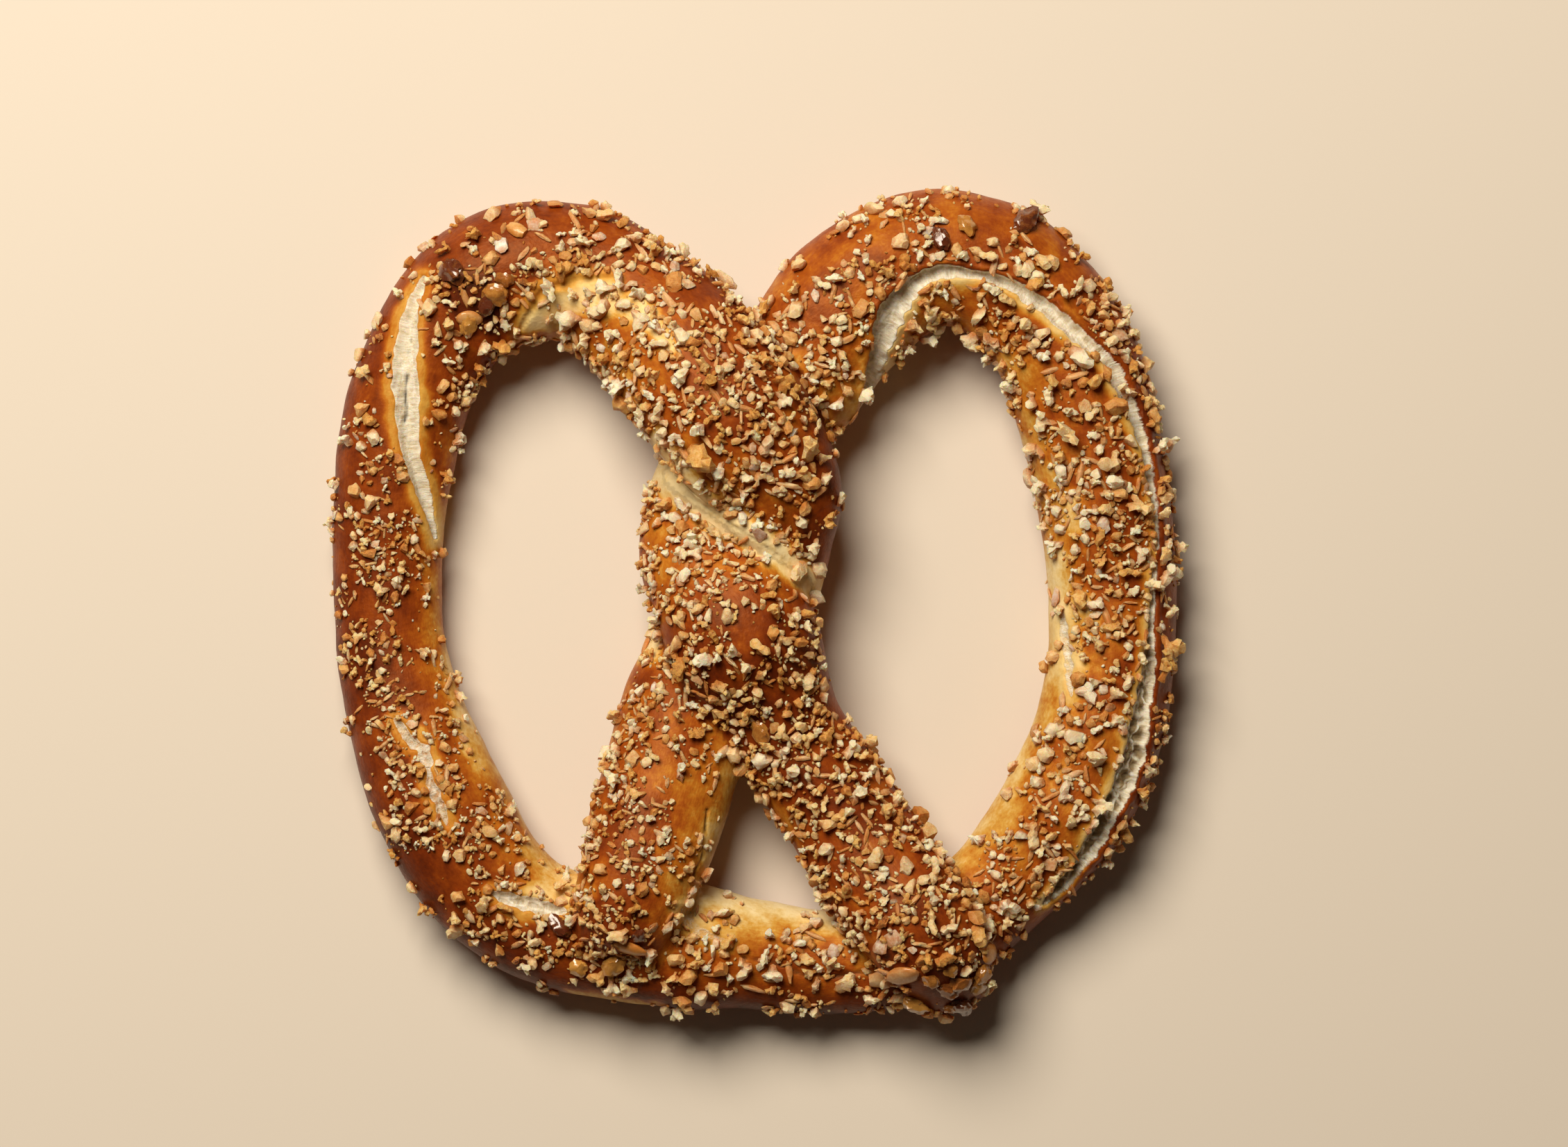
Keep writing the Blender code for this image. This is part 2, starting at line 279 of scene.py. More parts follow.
def on_rope(points):
    """Where the points lie: millimetres along the rope, and from -1 (left side) to 1 (right side)."""
    points = points / MM
    distances = np.full(len(points), np.inf)
    nearest = np.zeros(len(points), int)
    for index in range(0, len(route), RING_STRIDE):
        flat = ((points[:, :2] - centre[index]) ** 2).sum(1) / half_width[index] ** 2
        high = ((points[:, 2] - centre_height[index]) / half_height[index]) ** 2
        closer = flat + high < distances
        distances[closer] = (flat + high)[closer]
        nearest[closer] = index
    offset = points[:, :2] - centre[nearest]
    length = length_at[nearest] + (offset * along[nearest]).sum(1)
    side = (offset * across[nearest]).sum(1) / half_width[nearest]
    return length, np.clip(side, -1.0, 1.0)


# %% [markdown]
# ## The splits
#
# Steam bursts the crust where it is weakest, and the bread inside swells out pale and soft. Each split is a
# line of points (x, y and half of its width, in millimetres) with a depth, a lip and the share of white bread
# that shows in it. A lip of 1 or -1 means that the crust on the line's right or left side stands up as a hard
# edge. Where a split is torn, pits open between its fibres, and where it is ragged, its edge wanders. Cracks
# are only a gap.

# %% The splits' lines
SPLITS = (
    # Left loop: a lens-shaped burst with soft golden borders.
    {
        "depth": 1.7,
        "lip": 0,
        "bread": 1.0,
        "torn": 0.15,
        "line": (
            (-58.4, 57.1, 0.7),
            (-60.3, 52.0, 1.3),
            (-61.3, 46.6, 2.0),
            (-61.5, 40.7, 2.3),
            (-61.1, 34.8, 2.3),
            (-60.7, 28.9, 1.9),
            (-59.5, 23.8, 1.5),
            (-58.0, 19.2, 1.1),
            (-56.3, 12.0, 0.4),
        ),
    },
    # Right loop: a long burst under a hard lip, from the knot over the shoulder.
    {
        "depth": 1.9,
        "lip": -1,
        "bread": 0.9,
        "torn": 0.25,
        "ragged": 0.9,
        "line": (
            (15.2, 27.5, 0.6),
            (19.2, 36.0, 1.1),
            (21.0, 42.9, 1.8),
            (23.0, 49.6, 2.3),
            (25.1, 53.4, 2.1),
            (28.5, 56.8, 1.6),
            (32.4, 58.2, 1.2),
            (37.0, 57.9, 0.9),
            (42.4, 56.6, 1.0),
            (46.5, 54.6, 1.3),
            (50.9, 51.6, 1.4),
            (55.8, 47.3, 1.4),
            (60.4, 43.8, 1.2),
            (63.3, 39.4, 1.4),
            (66.2, 32.4, 1.1),
            (68.5, 24.5, 0.8),
            (69.8, 15.0, 0.5),
            (69.9, 10.0, 0.4),
        ),
    },
    # Right loop: the open, torn stretch down its outer side.
    {
        "depth": 1.0,
        "lip": -1,
        "bread": 0.9,
        "torn": 0.95,
        "ragged": 0.9,
        "line": (
            (69.6, 7.5, 0.4),
            (68.8, -5.0, 0.7),
            (68.4, -11.0, 1.2),
            (67.7, -16.2, 1.6),
            (66.2, -24.5, 2.0),
            (64.1, -31.0, 2.0),
            (61.0, -37.5, 1.7),
            (57.4, -43.8, 1.4),
            (53.4, -48.9, 1.0),
            (50.3, -52.1, 0.4),
        ),
    },
    # Left shoulder: the fold where the dark crust hangs over the pale inner side.
    {
        "depth": 0.6,
        "lip": 0,
        "bread": 0.1,
        "line": (
            (-42.3, 46.8, 0.4),
            (-39.6, 51.0, 0.7),
            (-36.8, 54.8, 0.9),
            (-30.5, 56.8, 0.8),
            (-25.0, 57.0, 0.4),
        ),
    },
    # Lower left: torn patches.
    {
        "depth": 0.6,
        "lip": 0,
        "bread": 0.55,
        "torn": 0.3,
        "ragged": 2.2,
        "line": ((-63.2, -19.8, 0.3), (-61.6, -22.0, 1.1), (-59.4, -24.4, 1.4), (-57.4, -27.6, 0.9)),
    },
    {
        "depth": 0.6,
        "lip": 0,
        "bread": 0.5,
        "torn": 0.3,
        "ragged": 2.2,
        "line": ((-57.4, -28.4, 0.6), (-56.6, -31.4, 1.0), (-55.4, -34.8, 1.0), (-53.9, -38.5, 0.4)),
    },
    # Foot, left of the rope end.
    {
        "depth": 0.9,
        "lip": 0,
        "bread": 0.7,
        "torn": 0.4,
        "ragged": 1.6,
        "line": ((-46.4, -50.0, 0.4), (-43.0, -51.2, 1.3), (-38.5, -52.6, 1.6), (-34.2, -53.2, 0.9)),
    },
    # Foot, between the two rope ends: a thin dry patch.
    {
        "depth": 0.5,
        "lip": 0,
        "bread": 0.4,
        "line": ((-12.6, -53.0, 0.9), (-11.0, -56.0, 1.0), (-5.5, -58.6, 0.5)),
    },
    # Right loop, inner side.
    {
        "depth": 0.6,
        "lip": 0,
        "bread": 0.5,
        "ragged": 2.0,
        "line": ((53.3, -1.3, 0.3), (54.0, -6.0, 0.9), (54.6, -11.0, 0.8), (54.9, -15.7, 0.3)),
    },
)
# Seams between strands that the oven closed: how far the skin is raised, then x, y and half of the width.
FILLED_SEAMS = (
    (2.3, (-17.0, 23.0, 2.2), (-7.0, 16.0, 2.6), (-0.5, 12.0, 2.6), (5.2, 8.2, 2.4), (10.2, 4.0, 1.6)),
)
# Each crack is half of its width and how strongly it shows, as painted shade and as depth, then the points
# along it.
CRACKS = (
    (0.30, 1.0, (-61.4, 40.2), (-61.6, 37.4), (-61.2, 34.4), (-61.4, 32.0)),
    (0.16, 0.6, (-61.1, 46.5), (-61.3, 44.8), (-61.2, 43.4)),
    (0.16, 0.35, (-12.4, 19.4), (-8.0, 16.6), (-3.5, 13.6), (1.5, 10.4), (5.5, 7.6)),
    (0.20, 0.5, (-8.5, -35.5), (-8.9, -39.0), (-9.5, -44.0), (-11.2, -47.5)),
    (0.26, 0.7, (-2.3, -61.6), (3.0, -62.4), (7.5, -64.4), (13.5, -64.9), (19.8, -63.8)),
)


def from_line(points, line):
    """Seen from above: distance from a line, its value there, the side (+1 is right), and how far along."""
    line = np.array(line, float)
    distance = np.full(len(points), np.inf)
    value = np.zeros(len(points))
    side = np.ones(len(points))
    travel = np.zeros(len(points))
    passed = 0.0
    for start, end in zip(line, line[1:]):
        span = (end - start)[:2]
        offset = points[:, :2] - start[:2]
        share = np.clip((offset @ span) / (span @ span), 0.0, 1.0)
        apart = np.linalg.norm(offset - share[:, None] * span, axis=1)
        closer = apart < distance
        distance[closer] = apart[closer]
        if line.shape[1] > 2:
            value[closer] = (start[2] + (end[2] - start[2]) * share)[closer]
        side[closer] = np.sign(offset[:, 0] * span[1] - offset[:, 1] * span[0])[closer]
        travel[closer] = (passed + share * np.linalg.norm(span))[closer]
        passed += np.linalg.norm(span)
    return distance, value, side, travel


def ramp(values, low, high):
    """0 below low, 1 above high, and a smooth step between."""
    share = np.clip((values - low) / (high - low), 0.0, 1.0)
    return share * share * (3 - 2 * share)


def noise_at(points, size, seed=0.0):
    """Soft noise from about -1 to 1 for points in metres, with humps that are size millimetres apart."""
    shifted = points / (size * MM) + seed
    return np.array([noise.noise(Vector(p)) for p in shifted])


SPLIT_STEPS = 4  # samples of a split's curve between two of its points
# A split's edge wanders by two noises: the share of its width, the humps' size in mm, and a seed.
EDGE_WANDER = ((0.35, 1.6, 3.0), (0.25, 4.0, 7.0))
USUAL_RAGGED = 0.6  # how much of that wander an edge has, where the split doesn't say
NARROWEST = 0.05  # least half width of a split, mm
FULL_DEPTH_HALF_WIDTH = 1.1  # a split narrower than this is shallower, mm
FAR_FROM_SPLITS = 20.0  # the distance that is stored where no split is near, mm
FIBRES_APART = 9.0  # mm between two splits' fibre patterns, so that no two are alike


def split_fields(points):
    """The nearest split for points in metres, in mm; fibre_place runs along and across it."""
    flat = points[:, :2] / MM - ROUTE_SHIFT
    wander = sum(share * noise_at(points, size, seed) for share, size, seed in EDGE_WANDER)
    fields = {name: np.zeros(len(points)) for name in ("depth", "lip", "bread", "torn")}
    fields["outside"] = np.full(len(points), FAR_FROM_SPLITS)
    fields["across"] = np.ones(len(points))
    fields["fibre_place"] = np.zeros((len(points), 3))
    for number, split in enumerate(SPLITS):
        distance, width, side, travel = from_line(flat, smooth_route(split["line"], SPLIT_STEPS))
        width = np.maximum(width * (1 + wander * split.get("ragged", USUAL_RAGGED)), NARROWEST)
        apart = np.full(len(points), FIBRES_APART * number)
        here = {
            "outside": distance - width,
            "across": distance / width,
            "depth": split["depth"] * np.minimum(1.0, width / FULL_DEPTH_HALF_WIDTH),
            "lip": side * split["lip"],
            "bread": np.full(len(points), split["bread"]),
            "torn": np.full(len(points), split.get("torn", 0.0)),
            "fibre_place": np.column_stack((travel, side * distance, apart)),
        }
        nearer = here["outside"] < fields["outside"]
        for name, values in here.items():
            fields[name][nearer] = values[nearer]
    return fields


CRACK_WANDER = 0.25  # mm by which a crack strays from its line
CRACK_WANDER_SIZE = 1.3
CRACK_PIECE = 1.9  # mm between two places where a crack is interrupted


def crack_mask(points):
    """From 0 to 1, how deep a crack is at the points and how dark its painted shade is."""
    flat = points[:, :2] / MM - ROUTE_SHIFT
    wandering = CRACK_WANDER * noise_at(points, CRACK_WANDER_SIZE, 19.0)
    broken = np.clip(0.9 + 1.4 * noise_at(points, CRACK_PIECE, 23.0), 0.0, 1.0)
    mask = np.zeros(len(points))
    for crack_half_width, darkness, *line in CRACKS:
        distance = np.abs(from_line(flat, line)[0] + wandering)
        mask = np.maximum(mask, darkness * broken * np.exp(-((distance / crack_half_width) ** 2)))
    return mask


# %% [markdown]
# The splits and cracks are narrower than the skin's own faces can show, so the skin is divided once more
# round them before anything is carved.

# %% Divide the skin round the splits
FINE_BAND = 1.6  # mm on each side of a split that is divided
FINE_BAND_OF_CRACK = 1.0


def divide_round_splits(obj):
    points = points_of(obj.data)
    flat = points[:, :2] / MM - ROUTE_SHIFT
    wanted = split_fields(points)["outside"] < FINE_BAND
    for _, _, *line in CRACKS:
        wanted |= from_line(flat, line)[0] < FINE_BAND_OF_CRACK
    wanted &= normals_of(obj.data)[:, 2] > -0.1
    mesh = bmesh.new()
    mesh.from_mesh(obj.data)
    mesh.verts.ensure_lookup_table()
    edges = [e for e in mesh.edges if wanted[e.verts[0].index] and wanted[e.verts[1].index]]
    bmesh.ops.subdivide_edges(mesh, edges=edges, cuts=1, use_grid_fill=True)
    bmesh.ops.triangulate(mesh, faces=mesh.faces)
    mesh.to_mesh(obj.data)
    mesh.free()


divide_round_splits(dough)
print("dough with fine splits:", len(dough.data.polygons), "triangles")

# %% Carve the splits and give the crust its unevenness
# Heights, depths and sizes in millimetres.
DOUGH_BUMP = 0.35
DOUGH_BUMP_SIZE = 9.0
CRUST_LUMP = 0.08
CRUST_LUMP_SIZE = 2.6
LIP_RISE = 0.45
LIP_PLACE = 0.45  # a lip's ridge lies this far outside the split's edge
LIP_WIDTH = 0.7
SOFT_LIP = 0.25  # the share of that rise on a side with no hard lip
EDGE_BAND = 0.5  # fibres grow to their full relief over this distance from the edge
FIBRE_RELIEF = 0.05
TORN_RELIEF = 0.22  # what a fully torn split adds to that
FIBRE_SIZE = 1.0
CRACK_DEPTH = 0.8
PIT_DEPTH = 0.6
PIT_SIZE = 1.2
TRAY_BAND = 0.45  # dough this close to the tray lies flat on it


def carve(obj):
    mesh = obj.data
    points = points_of(mesh)
    normals = normals_of(mesh)
    fields = split_fields(points)
    outside, depth, lip, torn = (fields[name] for name in ("outside", "depth", "lip", "torn"))
    fibre_place = fields["fibre_place"] * MM
    upward = ramp(normals[:, 2], 0.0, 0.25)
    steep = np.clip(1 - fields["across"] ** 6, 0.0, 1.0)
    gentle = np.clip(1 - fields["across"] ** 2, 0.0, 1.0)
    bowl = np.where(lip > 0, steep, gentle)
    inside = np.clip(-outside / EDGE_BAND, 0.0, 1.0)
    fibre_noise = noise_at(fibre_place * (1.0, 0.5, 1.0), FIBRE_SIZE, 11.0)
    fibres = (FIBRE_RELIEF + TORN_RELIEF * torn) * fibre_noise
    open_bread = torn * ramp(-outside, 0.1, EDGE_BAND)
    pit = open_bread * ramp(noise_at(fibre_place * (1.0, 0.6, 1.0), PIT_SIZE, 29.0), -0.15, 0.2)
    move = (-depth * bowl + fibres * inside - PIT_DEPTH * pit) * upward
    ridge = np.exp(-((outside - LIP_PLACE) / LIP_WIDTH) ** 2) * (outside > -0.1)
    rise = ridge * np.where(lip > 0, 1.0, SOFT_LIP)
    move += LIP_RISE * rise * upward * (depth > 0)
    crack = crack_mask(points)
    move -= CRACK_DEPTH * crack * upward
    lumps = CRUST_LUMP * noise_at(points, CRUST_LUMP_SIZE, 2.0)
    move += DOUGH_BUMP * noise_at(points, DOUGH_BUMP_SIZE) + lumps
    flat = points[:, :2] / MM - ROUTE_SHIFT
    points = points + normals * move[:, None] * MM
    for height, *line in FILLED_SEAMS:
        distance, width, _, _ = from_line(flat, line)
        points[:, 2] += height * np.exp(-((distance / width) ** 2)) * upward * MM
    points[points[:, 2] < TRAY_BAND * MM, 2] = 0.0
    store_points(mesh, points)
    store_values(mesh, "split", outside)
    store_values(mesh, "lip", lip)
    store_values(mesh, "bread", fields["bread"])
    store_values(mesh, "open_bread", open_bread)
    store_values(mesh, "crack", crack)
    store_vectors(mesh, "fibre_place", fibre_place)


carve(dough)

# %% [markdown]
# ## Bake and topping along the rope
#
# Browning isn't even. Faces that looked up at the oven's roof, or out from the knot, went dark, and dough
# that was hidden under another strand stayed cream. Each row below names a place on the rope by its row in
# the route, then gives the bake of its left side, top and right side (0 is cream, 1 nearly burnt), then how
# thick the topping lies on the same three, and last how coarse the crumbs are.

# %% The bake and the topping
COVER = (
    (0, 0.57, 0.63, 0.55, 0.9, 1.0, 0.9, 1.0),
    (3, 0.48, 0.58, 0.22, 0.9, 0.95, 0.10, 0.85),
    (5, 0.42, 0.53, 0.20, 0.8, 0.8, 0.08, 1.0),
    (7, 0.20, 0.40, 0.46, 0.6, 0.9, 0.1, 1.0),
    (9, 0.14, 0.50, 0.76, 0.6, 1.0, 0.15, 1.1),
    (11, 0.34, 0.58, 0.66, 0.9, 1.0, 0.8, 1.1),
    (13, 0.18, 0.56, 0.70, 1.0, 1.0, 0.7, 1.1),
    (14, 0.30, 0.59, 0.66, 1.0, 0.95, 0.4, 1.1),
    (16, 0.72, 0.73, 0.68, 0.9, 0.85, 0.25, 1.05),
    (18, 0.62, 0.71, 0.72, 0.8, 0.5, 0.25, 1.0),
    (19, 0.50, 0.66, 0.72, 0.7, 0.45, 0.4, 0.9),
    (21, 0.36, 0.67, 0.78, 0.25, 0.9, 0.5, 0.75),
    (24, 0.28, 0.68, 0.84, 0.3, 0.85, 0.3, 0.75),
    (27, 0.20, 0.60, 0.88, 0.5, 0.7, 0.2, 0.9),
    (28, 0.20, 0.60, 0.90, 0.3, 0.7, 0.15, 1.0),
    (29, 0.02, 0.46, 0.95, 0.1, 0.8, 0.6, 1.1),
    (31, 0.02, 0.48, 0.95, 0.05, 0.8, 0.5, 1.1),
    (32, 0.24, 0.46, 0.80, 0.5, 0.95, 0.6, 1.1),
    (34, 0.20, 0.48, 0.74, 0.04, 0.9, 0.5, 1.0),
    (35, 0.20, 0.50, 0.76, 0.06, 0.95, 0.7, 1.05),
    (38, 0.22, 0.50, 0.74, 0.20, 1.0, 0.7, 1.1),
    (40, 0.26, 0.52, 0.74, 0.45, 1.0, 0.7, 1.1),
    (41, 0.34, 0.53, 0.66, 0.9, 0.95, 0.7, 1.1),
    (44, 0.42, 0.55, 0.55, 1.0, 0.75, 0.3, 1.05),
    (46, 0.28, 0.56, 0.54, 0.4, 0.9, 0.3, 1.05),
    (48, 0.20, 0.36, 0.30, 0.7, 0.8, 0.5, 1.1),
    (50, 0.28, 0.38, 0.40, 1.0, 1.0, 0.8, 1.0),
    (51, 0.38, 0.46, 0.46, 1.0, 1.0, 0.8, 0.95),
    (52, 0.56, 0.65, 0.58, 0.9, 1.0, 0.7, 0.95),
    (54, 0.66, 0.71, 0.64, 0.7, 1.0, 0.5, 1.0),
    (55.5, 0.60, 0.66, 0.52, 0.7, 0.95, 0.7, 1.05),
    (58, 0.58, 0.68, 0.56, 0.8, 1.0, 0.9, 1.1),
    (61, 0.68, 0.70, 0.68, 0.8, 0.9, 0.8, 1.0),
)
# Stretches that stayed pale because dough covered them: how pale, then x, y and half of the width.
PALE = (
    (
        1.0,
        (-18.4, 25.2, 2.4),
        (-13.2, 20.2, 2.9),
        (-7.6, 16.2, 2.7),
        (0.2, 11.6, 2.5),
        (5.4, 7.8, 2.3),
        (10.8, 2.8, 1.8),
    ),
    (0.85, (12.4, 0.5, 0.8), (13.4, -3.0, 0.7), (14.7, -8.7, 0.5)),
    (0.90, (-21.5, -4.0, 1.6), (-19.0, -7.5, 2.0)),
    (
        0.80,
        (-39.0, 49.5, 1.6),
        (-33.0, 52.4, 2.6),
        (-26.0, 53.6, 2.8),
        (-19.5, 50.5, 2.6),
        (-15.0, 45.0, 1.6),
    ),
    (0.50, (-38.5, -49.4, 1.4), (-33.0, -49.6, 2.2), (-29.5, -50.5, 1.4)),
    (0.45, (-54.3, -8.0, 0.8), (-53.0, -14.0, 1.4), (-51.0, -21.0, 1.6), (-48.6, -27.0, 0.8)),
    (0.80, (-17.5, 29.0, 1.5), (-13.5, 23.5, 2.0)),
    (
        0.70,
        (-33.5, -67.6, 0.1),
        (-30.0, -68.3, 0.6),
        (-25.0, -69.2, 0.7),
        (-20.0, -69.9, 0.5),
        (-16.5, -70.3, 0.1),
    ),
    (0.60, (51.8, 0.0, 2.0), (52.5, 9.0, 1.4)),
    (0.55, (57.0, 0.5, 1.6), (58.0, -3.5, 1.2)),
    (0.50, (55.5, 14.0, 1.4), (54.0, 18.0, 1.6)),
    (0.60, (58.0, -43.6, 0.6), (54.0, -48.4, 1.2), (49.6, -52.8, 0.8)),
)
# Places with their own look: x, y and radius, then how much darker the crust is, then how much topping stays.
SPOTS = (
    (-0.8, -4.4, 3.2, 0.04, 0.0),
    (-43.7, 61.1, 2.6, 0.0, 0.1),
    (40.8, 67.6, 5.0, 0.02, 0.15),
    (-49.5, 53.5, 5.0, 0.22, 1.0),
    (-45.8, 50.0, 4.0, 0.20, 0.8),
    (-20.0, -12.4, 2.6, 0.35, 0.3),
    (-2.5, 1.2, 2.6, -0.02, 0.3),
    (33.5, -67.0, 5.5, 0.12, 0.35),
    (-60.0, -4.5, 3.0, 0.05, 0.2),
    (-58.0, 27.0, 2.5, 0.06, 0.3),
    (-12.5, -32.0, 2.5, -0.04, 0.3),
    (14.4, -5.5, 2.8, 0.04, 0.1),
    (12.2, 1.2, 2.0, -0.05, 0.2),
)


BAKE_COLUMN = 1  # the first of COVER's three columns of bake
TOPPING_COLUMN = 4  # and of its three columns of topping
SIDE_FALL = 1.6  # above 1 the top's value reaches further down the sides


def cover_at(points, first_column):
    """Three of COVER's columns at the points: the left, top and right values, blended round the rope."""
    length, side = on_rope(points)
    table = np.array(COVER, float)
    stops = length_at[(table[:, 0] * STEPS_PER_SPAN).astype(int)]
    left, top, right = (np.interp(length, stops, table[:, first_column + k]) for k in range(3))
    leaning = np.abs(side) ** SIDE_FALL
    return top + (np.where(side < 0, left, right) - top) * leaning


def coarseness_at(points):
    table = np.array(COVER, float)
    stops = length_at[(table[:, 0] * STEPS_PER_SPAN).astype(int)]
    return np.interp(on_rope(points)[0], stops, table[:, -1])


PALE_EDGE_WANDER = 0.8  # mm


def paleness_at(points):
    flat = points[:, :2] / MM - ROUTE_SHIFT
    paleness = np.zeros(len(points))
    ragged = PALE_EDGE_WANDER * noise_at(points, 2.2, 43.0)
    for strength, *line in PALE:
        distance, width, _, _ = from_line(flat, smooth_route(line, SPLIT_STEPS))
        fading = ramp(distance + ragged, 0.4 * width, 1.3 * width + 1.0)
        paleness = np.maximum(paleness, strength * (1 - fading))
    return paleness


def spots_at(points):
    """How much darker the crust is at the points, and the share of the topping that stays."""
    flat = points[:, :2] / MM - ROUTE_SHIFT
    darker = np.zeros(len(points))
    staying = np.ones(len(points))
    for x, y, radius, change, share in SPOTS:
        inside = 1 - ramp(np.hypot(flat[:, 0] - x, flat[:, 1] - y), 0.5 * radius, 1.2 * radius)
        darker += change * inside
        staying *= 1 - (1 - share) * inside
    return darker, staying


DRIFT_SIZE = 6.5  # mm between two drifts of crumbs
DRIFT_PIECE = 2.8  # mm between the smaller heaps that they break into


def topping_at(points):
    """From 0 to 1, how thickly crumbs gather at the points, in drifts."""
    thick = np.clip(cover_at(points, TOPPING_COLUMN), 0.0, 1.0) * spots_at(points)[1]
    thick = thick * (1 - 0.95 * paleness_at(points) ** 10)
    drift = noise_at(points, DRIFT_SIZE, 53.0) + 0.6 * noise_at(points, DRIFT_PIECE, 59.0)
    return thick * ramp(drift + 0.9 * (thick - 0.75), -0.38, 0.18)


SUGAR_AND_SHADE_UNDER_TOPPING = 0.12  # how much darker the crust is under the topping: sugar baked into it, and painted shade between the crumbs
UNDERSIDE_BAKE = 0.50
# The bake wanders by two noises: how much darker or paler, the blotches' size in mm, and a seed.
BAKE_WANDER = ((0.13, 9.0, 31.0), (0.08, 4.0, 37.0))
USUAL_TOPPING = 0.4  # where the topping is this thick, the bake is left as it is
USUAL_HALF_WIDTH = 12.0  # the rope's, in mm, which turns a side from -1 to 1 into a length


def bake_dough(obj):
    mesh = obj.data
    points = points_of(mesh)
    normals = normals_of(mesh)
    bake = cover_at(points, BAKE_COLUMN) + spots_at(points)[0]
    bake += sum(share * noise_at(points, size, seed) for share, size, seed in BAKE_WANDER)
    # The crust is darker where the crumbs lie thick: sugar baked into it, and painted shade between them.
    bake += SUGAR_AND_SHADE_UNDER_TOPPING * (topping_at(points) - USUAL_TOPPING)
    bake *= 1 - paleness_at(points)
    underneath = ramp(-normals[:, 2], 0.1, 0.6)
    bake = bake * (1 - underneath) + UNDERSIDE_BAKE * underneath
    store_values(mesh, "bake", bake)
    length, side = on_rope(points)
    rope_place = np.column_stack((length, side * USUAL_HALF_WIDTH, np.zeros(len(points))))
    store_vectors(mesh, "rope_place", rope_place * MM)


bake_dough(dough)
dough.data.shade_smooth()

# %% [markdown]
# ## Crumbs
#
# The topping is chopped nut, coarse sugar and toasted flour crumb. Each kind is modelled a few times, in two
# ways. Broken pieces are a ball that is squashed, roughened and chopped by planes. Clumps are small balls
# pressed together, melted into one skin by a voxel remesh and thinned to a few dozen faces. These few are
# then copied many times into one mesh for each kind, each copy with its own turn, size and tint.

# %% Model the broken pieces


def taken_apart(obj):
    """The object's points and triangles as arrays; the object itself goes."""
    points = points_of(obj.data)
    corners = np.array([tuple(p.vertices) for p in obj.data.polygons])
    bpy.data.objects.remove(obj)
    return points, corners


def to_triangles(obj):
    make_active(obj)
    bpy.ops.object.mode_set(mode="EDIT")
    bpy.ops.mesh.select_all(action="SELECT")
    bpy.ops.mesh.quads_convert_to_tris()
    bpy.ops.object.mode_set(mode="OBJECT")


def broken_piece(seed, fineness, size, lumps, cuts, cut_depth):
    draw = np.random.default_rng(seed)
    deselect_all()
    bpy.ops.mesh.primitive_ico_sphere_add(subdivisions=fineness, radius=0.5, location=(0, 0, 0))
    piece = bpy.context.object
    points = points_of(piece.data)
    knobs = np.array([noise.noise(Vector(p * 3.1 + seed * 7.7)) for p in points])
    fine = np.array([noise.noise(Vector(p * 7.3 + seed * 3.3)) for p in points])
    store_points(piece.data, points * (1 + lumps * knobs + 0.45 * lumps * fine)[:, None])
    bpy.ops.object.mode_set(mode="EDIT")
    bpy.ops.mesh.select_all(action="SELECT")
    bpy.ops.transform.resize(value=size)
    for _ in range(cuts):
        facing = draw.normal(size=3)
        facing /= np.linalg.norm(facing)
        reach = 0.5 * np.linalg.norm(facing * np.array(size))
        bpy.ops.mesh.select_all(action="SELECT")
        place = facing * reach * (1 - cut_depth * draw.uniform(0.5, 1.0))
        bpy.ops.mesh.bisect(plane_co=place, plane_no=facing, use_fill=True, clear_outer=True)
    bpy.ops.object.mode_set(mode="OBJECT")
    to_triangles(piece)
    return taken_apart(piece)


def broken_family(first_seed, count, fineness, sizes, lumps, cuts, cut_depth):
    draw = np.random.default_rng(first_seed)
    family = []
    for number in range(count):
        size = tuple(draw.uniform(low, high) for low, high in sizes)
        family.append(broken_piece(first_seed + number, fineness, size, lumps, cuts, cut_depth))
    return family


# First seed, how many, fineness of the ball, least and greatest size on each axis, roughness, number of cuts
# and their depth.
NIB_SHAPES = broken_family(100, 14, 2, ((0.9, 1.2), (0.65, 1.0), (0.55, 0.85)), 0.55, 3, 0.5)
FLAKE_SHAPES = broken_family(200, 10, 2, ((0.95, 1.25), (0.6, 1.0), (0.2, 0.34)), 0.5, 3, 0.45)
SLIVER_SHAPES = broken_family(300, 10, 2, ((1.5, 2.2), (0.36, 0.55), (0.28, 0.42)), 0.5, 2, 0.3)
FINE_SHAPES = broken_family(400, 10, 1, ((0.85, 1.3), (0.6, 1.0), (0.5, 0.9)), 0.6, 1, 0.4)
CARAMEL_SHAPES = broken_family(500, 5, 3, ((1.0, 1.3), (0.8, 1.0), (0.5, 0.7)), 0.45, 1, 0.3)
ALMOND_SHAPES = broken_family(600, 6, 3, ((1.15, 1.35), (0.75, 0.9), (0.4, 0.5)), 0.16, 1, 0.4)
print("a nib has", len(NIB_SHAPES[0][1]), "triangles and a fine crumb", len(FINE_SHAPES[0][1]))

# %% Model the clumps
CLUMP_FACES = 84
CLUMP_VOXEL = 0.07  # of a clump that is about 1 across
CLUMP_ROUGHNESS = 0.34
BALL_RADII = (0.16, 0.30)  # least and greatest
BALL_OVERLAP = 0.85  # the distance between two joined balls over the sum of their radii


